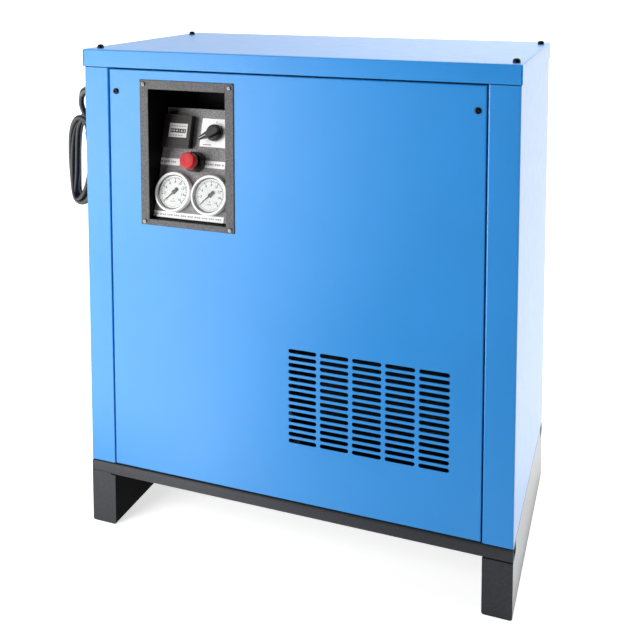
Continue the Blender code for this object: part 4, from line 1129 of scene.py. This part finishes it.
def fan():
    """Hub and five curved, twisted blades."""
    low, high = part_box("fan_rotor")
    axis = Vector(JOINTS["fan_spin"]["pos_m"])
    radius = (high.z - low.z) / 2
    depth = (high.y - low.y) / 2
    place = Matrix.Translation((axis.x, (low.y + high.y) / 2, axis.z)) @ TO_FRONT
    hub_radius = 0.024
    profile = [
        (0, -depth),
        (hub_radius, -depth),
        (hub_radius, depth * 0.75),
        (hub_radius * 0.92, depth * 0.95),
        (hub_radius * 0.80, depth),
        (0, depth),
    ]
    piece("fan_hub", turned(profile, 48), BLACK_PLASTIC, "fan", place, 40, "fan_rotor")
    bm = bmesh.new()
    across, along, thick = 12, 8, 0.0012
    for blade in range(5):
        faces = []
        for side in (-1, 1):
            grid = []
            for i in range(along + 1):
                t = i / along
                r = hub_radius * 0.92 + (radius - hub_radius * 0.92 - 0.001) * t
                chord = math.radians(56 - 14 * t)
                pitch = math.radians(34 - 14 * t)
                row = []
                for j in range(across + 1):
                    u = j / across - 0.5
                    angle = math.tau * blade / 5 + u * chord + 0.30 * t * t
                    height = -u * chord * r * math.tan(pitch) * 0.55 + 0.002 * math.cos(math.pi * u)
                    height = max(-depth + 0.0015, min(depth - 0.0015, height)) + side * thick / 2
                    row.append(bm.verts.new((r * math.cos(angle), r * math.sin(angle), height)))
                grid.append(row)
            faces.append(grid)
        for grid in faces:
            for i in range(along):
                for j in range(across):
                    bm.faces.new((grid[i][j], grid[i][j + 1], grid[i + 1][j + 1], grid[i + 1][j]))
        back, front = faces
        edge = (
            [(0, j) for j in range(across + 1)]
            + [(i, across) for i in range(1, along + 1)]
            + [(along, j) for j in range(across - 1, -1, -1)]
            + [(i, 0) for i in range(along - 1, 0, -1)]
        )
        for (i, j), (k, m) in zip(edge, edge[1:] + edge[:1]):
            bm.faces.new((back[i][j], back[k][m], front[k][m], front[i][j]))
    piece("fan_blades", bm, ALUMINIUM, "fan", place, 45, "fan_rotor")


def compressor():
    """Hermetic compressor: welded shell, terminal cover and rating plate."""
    low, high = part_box("refrigerant_compressor")
    middle = middle_of("refrigerant_compressor")
    radius = (high.x - low.x) / 2 - 0.003
    place = Matrix.Translation((middle.x, middle.y, low.z))
    height = high.z - low.z
    seam = height * 0.52
    shell = [
        (0, 0),
        (radius * 0.62, 0.001),
        (radius * 0.86, 0.010),
        (radius * 0.97, 0.030),
        (radius, 0.055),
        (radius, seam - 0.006),
        (radius + 0.003, seam - 0.005),
        (radius + 0.003, seam + 0.001),
        (radius - 0.0015, seam + 0.002),
        (radius - 0.0015, height - 0.060),
        (radius * 0.95, height - 0.036),
        (radius * 0.80, height - 0.016),
        (radius * 0.50, height - 0.004),
        (0, height),
    ]
    shown = {"body": "cabinet", "matrix": place, "shows": "refrigerant_compressor"}
    piece("compressor_shell", turned(shell, 72), ENAMEL, smooth=30, **shown)
    cover = block((-0.030, -radius - 0.012, height * 0.42), (0.030, -radius + 0.020, height * 0.76))
    soften(piece("compressor_terminal_cover", cover, BLACK_PLASTIC, **shown), 0.004, 3)
    plate = block((-0.028, -radius - 0.0022, height * 0.18), (0.028, -radius + 0.006, height * 0.36))
    soften(piece("compressor_rating_plate", plate, ALUMINIUM, "cabinet", place), 0.0005)


def exchanger_details():
    """Two strapping bands round the foam block and its rating label."""
    low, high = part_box("heat_exchanger")
    proud, width = 0.0007, 0.013
    bands = bmesh.new()
    for share in (0.45, 0.87):
        x = low.x + (high.x - low.x) * share
        for y in ((low.y - proud, low.y + proud), (high.y - proud, high.y + proud)):
            block((x, y[0], low.z - proud), (x + width, y[1], high.z + proud), bands)
        for z in ((low.z - proud, low.z + proud), (high.z - proud, high.z + proud)):
            block((x, low.y + proud, z[0]), (x + width, high.y - proud, z[1]), bands)
    piece("exchanger_bands", bands, ALUMINIUM, "cabinet")
    left, bottom, width, height = low.x + 0.020, low.z + 0.200, 0.070, 0.045
    sheet = block((left, low.y - 0.0004, bottom), (left + width, low.y + 0.0004, bottom + height))
    piece("exchanger_label", sheet, WHITE_SHEET, "cabinet")
    rows = bmesh.new()
    for i in range(5):
        z = bottom + 0.006 + i * 0.008
        length = width * (0.82, 0.55, 0.74, 0.40, 0.66)[i]
        block((left + 0.005, low.y - 0.0005, z), (left + 0.005 + length, low.y, z + 0.0022), rows)
    piece("exchanger_label_rows", rows, PRINT_BLACK, "cabinet")


def electrical_box_details():
    """Screwed cover on the side that faces in, warning plate, two glands and the compressor's lead."""
    low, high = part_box("electrical_box")
    inset = 0.006
    sheet = rounded_rectangle((low.y + inset, low.z + inset), (high.y - inset, high.z - inset), 0.005)
    cover = prism(sheet, high.x - 0.0005, high.x + 0.0022, "X")
    soften(piece("electrical_cover", cover, ENCLOSURE, "cabinet"), 0.0006)
    screws = bmesh.new()
    head = [(0, 0), (0.0042, 0), (0.0042, 0.0014), (0.0030, 0.0024), (0, 0.0024)]
    for y in (low.y + inset + 0.012, high.y - inset - 0.012):
        for z in (low.z + inset + 0.012, high.z - inset - 0.012):
            turned(head, 20, False, screws, Matrix.Translation((high.x + 0.0020, y, z)) @ TO_RIGHT)
    piece("electrical_cover_screws", screws, STEEL, "cabinet", None, 30)
    middle = ((low.y + high.y) / 2, low.z + (high.z - low.z) * 0.62)
    face = high.x + 0.0022
    edge = prism(arc(middle, 0.032, 90, 330, 2), face - 0.0002, face + 0.0002, "X")
    piece("electrical_warning_edge", edge, PRINT_BLACK, "cabinet")
    plate = prism(arc(middle, 0.032 * 0.82, 90, 330, 2), face, face + 0.0004, "X")
    piece("electrical_warning_plate", plate, YELLOW_SHEET, "cabinet")
    x = (low.x + high.x) / 2
    gland = [
        (0, -0.020),
        (0.0062, -0.020),
        (0.0086, -0.017),
        (0.0086, -0.007),
        (0.0110, -0.006),
        (0.0110, 0.0),
        (0, 0.0),
    ]
    glands = bmesh.new()
    for y in (low.y + 0.055, low.y + 0.095):
        turned(gland, 24, False, glands, Matrix.Translation((x, y, low.z + 0.0001)))
    piece("electrical_glands", glands, BLACK_PLASTIC, "cabinet", None, 30)
    shell_low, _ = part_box("refrigerant_compressor")
    shell_x = middle_of("refrigerant_compressor").x
    entry = Vector((shell_x - 0.028, shell_low.y - 0.002, shell_low.z + 0.115))
    start = Vector((x, low.y + 0.055, low.z - 0.016))
    lead = [
        start,
        start + Vector((0, 0, -0.045)),
        start + Vector((0.020, -0.045, -0.110)),
        entry + Vector((-0.060, -0.030, 0.004)),
        entry + Vector((-0.018, 0, 0)),
        entry,
    ]
    piece("compressor_lead", swept(smooth_path(lead, 8), 0.0042), RUBBER, "cabinet", None, 60)


condenser()
fan()
compressor()
exchanger_details()
electrical_box_details()

# ---------------------------------------------------------------- stage, light and camera

ROOM_EDGE = (-0.30, 0.25)
ROOM_SIDES = (-0.60, 0.0)
FRONT_AMBIENT = (0.47, 0.0)
REAR_AMBIENT = 1.15
BACKDROP_EDGE = (-0.50, -0.10)
BACKDROP_REFLECTION = (0.0, 0.65)
FLOOR_TONE = 0.90
FLOOR_LIFT = 0.45
FLOOR_GLOW = (0.10, 0.40)  # in front and behind
FLOOR_REFLECTION = 0.9
RIGHT_EDGE = (0.42, 0.46)
RIGHT_REFLECTION = 1.0
POOL_EDGE = (-0.62, -0.03)
POOL_REFLECTION = 5.3
NEAR_REFLECTION = 1.3
DARK_ROOM = (-0.95, -0.25)
KEY_PLACE = (-1.15, -1.70, 0.95)
KEY_SIZE = (1.0, 1.7)
KEY_WATTS = 17
FILL_WATTS = 29
OVERHEAD_WATTS = 11
LIGHT_TARGET = (MIDDLE_X - 0.2, FRONT_Y, 0.6)


def for_reflections(owner, plain, extra):
    """A strength that is higher by extra where it is seen in a reflection."""
    return math_node(owner, "ADD", plain, product(owner, ray_is(owner, "Glossy"), extra))


def plateau(owner, value, rise, fall):
    """1 between a rise and a fall of a value, and 0 outside them."""
    return product(owner, ramp(owner, value, *rise, 0.0, 1.0), ramp(owner, value, *fall, 1.0, 0.0))


def floor_reflection(material, across, depth):
    """How bright the floor is in a reflection: behind, to the right, and in a pool at the front left."""
    behind = ramp(material, depth, 0.2, 0.9, 0.0, FLOOR_REFLECTION)
    beside = product(
        material,
        ramp(material, across, *RIGHT_EDGE, 0.0, 1.0),
        ramp(material, depth, -0.3, -0.2, 0.0, RIGHT_REFLECTION),
    )
    rear = math_node(material, "MAXIMUM", behind, beside)
    bearing = math_node(material, "DIVIDE", across, product(material, depth, -1.0))
    pool = product(
        material,
        ramp(material, bearing, *POOL_EDGE, POOL_REFLECTION, 0.0),
        ramp(material, depth, -0.75, -0.2, 1.0, 0.0),
        ramp(material, depth, -4.0, -1.5, 0.80, 1.0),
    )
    patch = product(
        material,
        plateau(material, across, (-0.50, -0.20), (-0.10, 0.25)),
        plateau(material, depth, (-0.75, -0.45), (-0.15, -0.02)),
        NEAR_REFLECTION,
    )
    return math_node(material, "ADD", rear, math_node(material, "ADD", pool, patch))


def floor():
    """A pale table lit from beneath, brighter behind the cabinet. A reflection shows its near part dark."""
    bm = bmesh.new()
    bmesh.ops.create_grid(bm, x_segments=1, y_segments=1, size=12)
    material = new_material("pale_floor", (0.90, 0.90, 0.90), 0.7)
    place = position(material)
    across, depth = place["X"], place["Y"]
    far = product(material, ray_is(material, "Glossy"), ramp(material, depth, *DARK_ROOM, 1.0, 0.0))
    near = math_node(material, "SUBTRACT", 1.0, far)
    shade = node(material, "CombineColor")
    for channel in shade.inputs:
        link(material, product(material, near, FLOOR_TONE), channel)
    drive(material, "Base Color", shade.outputs["Color"])
    glow = product(material, ramp(material, depth, -0.8, 0.6, *FLOOR_GLOW), near)
    strength = for_reflections(material, glow, floor_reflection(material, across, depth))
    lift = product(material, ray_is(material, "Camera"), FLOOR_LIFT)
    drive(material, "Emission Strength", math_node(material, "ADD", strength, lift))
    shader_of(material).inputs["Emission Color"].default_value = (1, 1, 1, 1)
    piece("floor", bm, material, None)


def area_light(name, place, target, width, height, watts, glossy=True):
    light = bpy.data.lights.new(name, "AREA")
    light.shape = "RECTANGLE"
    light.size = width
    light.size_y = height
    light.energy = watts
    obj = bpy.data.objects.new(name, light)
    bpy.context.scene.collection.objects.link(obj)
    obj.location = place
    obj.rotation_euler = (Vector(target) - Vector(place)).to_track_quat("-Z", "Y").to_euler()
    obj.visible_glossy = glossy


def studio_world():
    """A white backdrop behind, brighter to the right, and a dimmer room on the camera's side."""
    world = bpy.data.worlds.new("studio")
    bpy.context.scene.world = world
    world.use_nodes = True
    background = world.node_tree.nodes["Background"]
    place = position(world, "Generated")
    room = ramp(world, place["X"], *ROOM_SIDES, *FRONT_AMBIENT)
    rear = math_node(world, "SUBTRACT", REAR_AMBIENT, room)
    share = ramp(world, place["Y"], *ROOM_EDGE, 0.0, 1.0)
    plain = math_node(world, "ADD", room, product(world, rear, share))
    bright = ramp(world, place["X"], *BACKDROP_EDGE, *BACKDROP_REFLECTION)
    behind = ramp(world, place["Y"], 0.0, 0.5, 0.0, 1.0)
    strength = for_reflections(world, plain, product(world, bright, behind))
    seen = product(world, ray_is(world, "Camera"), REAR_AMBIENT)
    strength = math_node(world, "MAXIMUM", strength, seen)
    link(world, strength, background.inputs["Strength"])
    background.inputs["Color"].default_value = (1, 1, 1, 1)


def rising_front(camera, obj, setting, amount):
    """Shifts the lens, so that uprights stay upright, only while the camera stands in this place."""
    driver = camera.driver_add(setting).driver
    place = driver.variables.new()
    place.name = "place"
    place.type = "TRANSFORMS"
    place.targets[0].id = obj
    place.targets[0].transform_type = "LOC_X"
    driver.expression = f"{amount} if abs(place - {obj.location.x:.5f}) < 0.001 else 0"


def photo_camera():
    """The camera stands to the right, in front of the cabinet and above its lid, and looks down a little."""
    width = RIGHT_HIGH.x - LEFT_LOW.x
    camera = bpy.data.cameras.new("camera")
    camera.sensor_width = 36
    camera.lens = 50.07
    obj = bpy.data.objects.new("camera", camera)
    bpy.context.scene.collection.objects.link(obj)
    obj.location = (MIDDLE_X + 0.71235 * width, FRONT_Y - 1.75304 * width, 1.33075 * width)
    obj.rotation_euler = (math.radians(90 - 4.41), 0, math.radians(19.9))
    rising_front(camera, obj, "shift_x", 0.0035)
    rising_front(camera, obj, "shift_y", -0.4425)
    bpy.context.scene.camera = obj


floor()
studio_world()
area_light("key", KEY_PLACE, LIGHT_TARGET, *KEY_SIZE, KEY_WATTS)
area_light("fill", KEY_PLACE, LIGHT_TARGET, *KEY_SIZE, FILL_WATTS, glossy=False)
area_light("overhead", (0.1, 0.15, 2.4), (0.1, 0.1, 0.8), 1.6, 1.2, OVERHEAD_WATTS, glossy=False)
photo_camera()
bpy.context.scene.view_settings.view_transform = "Standard"
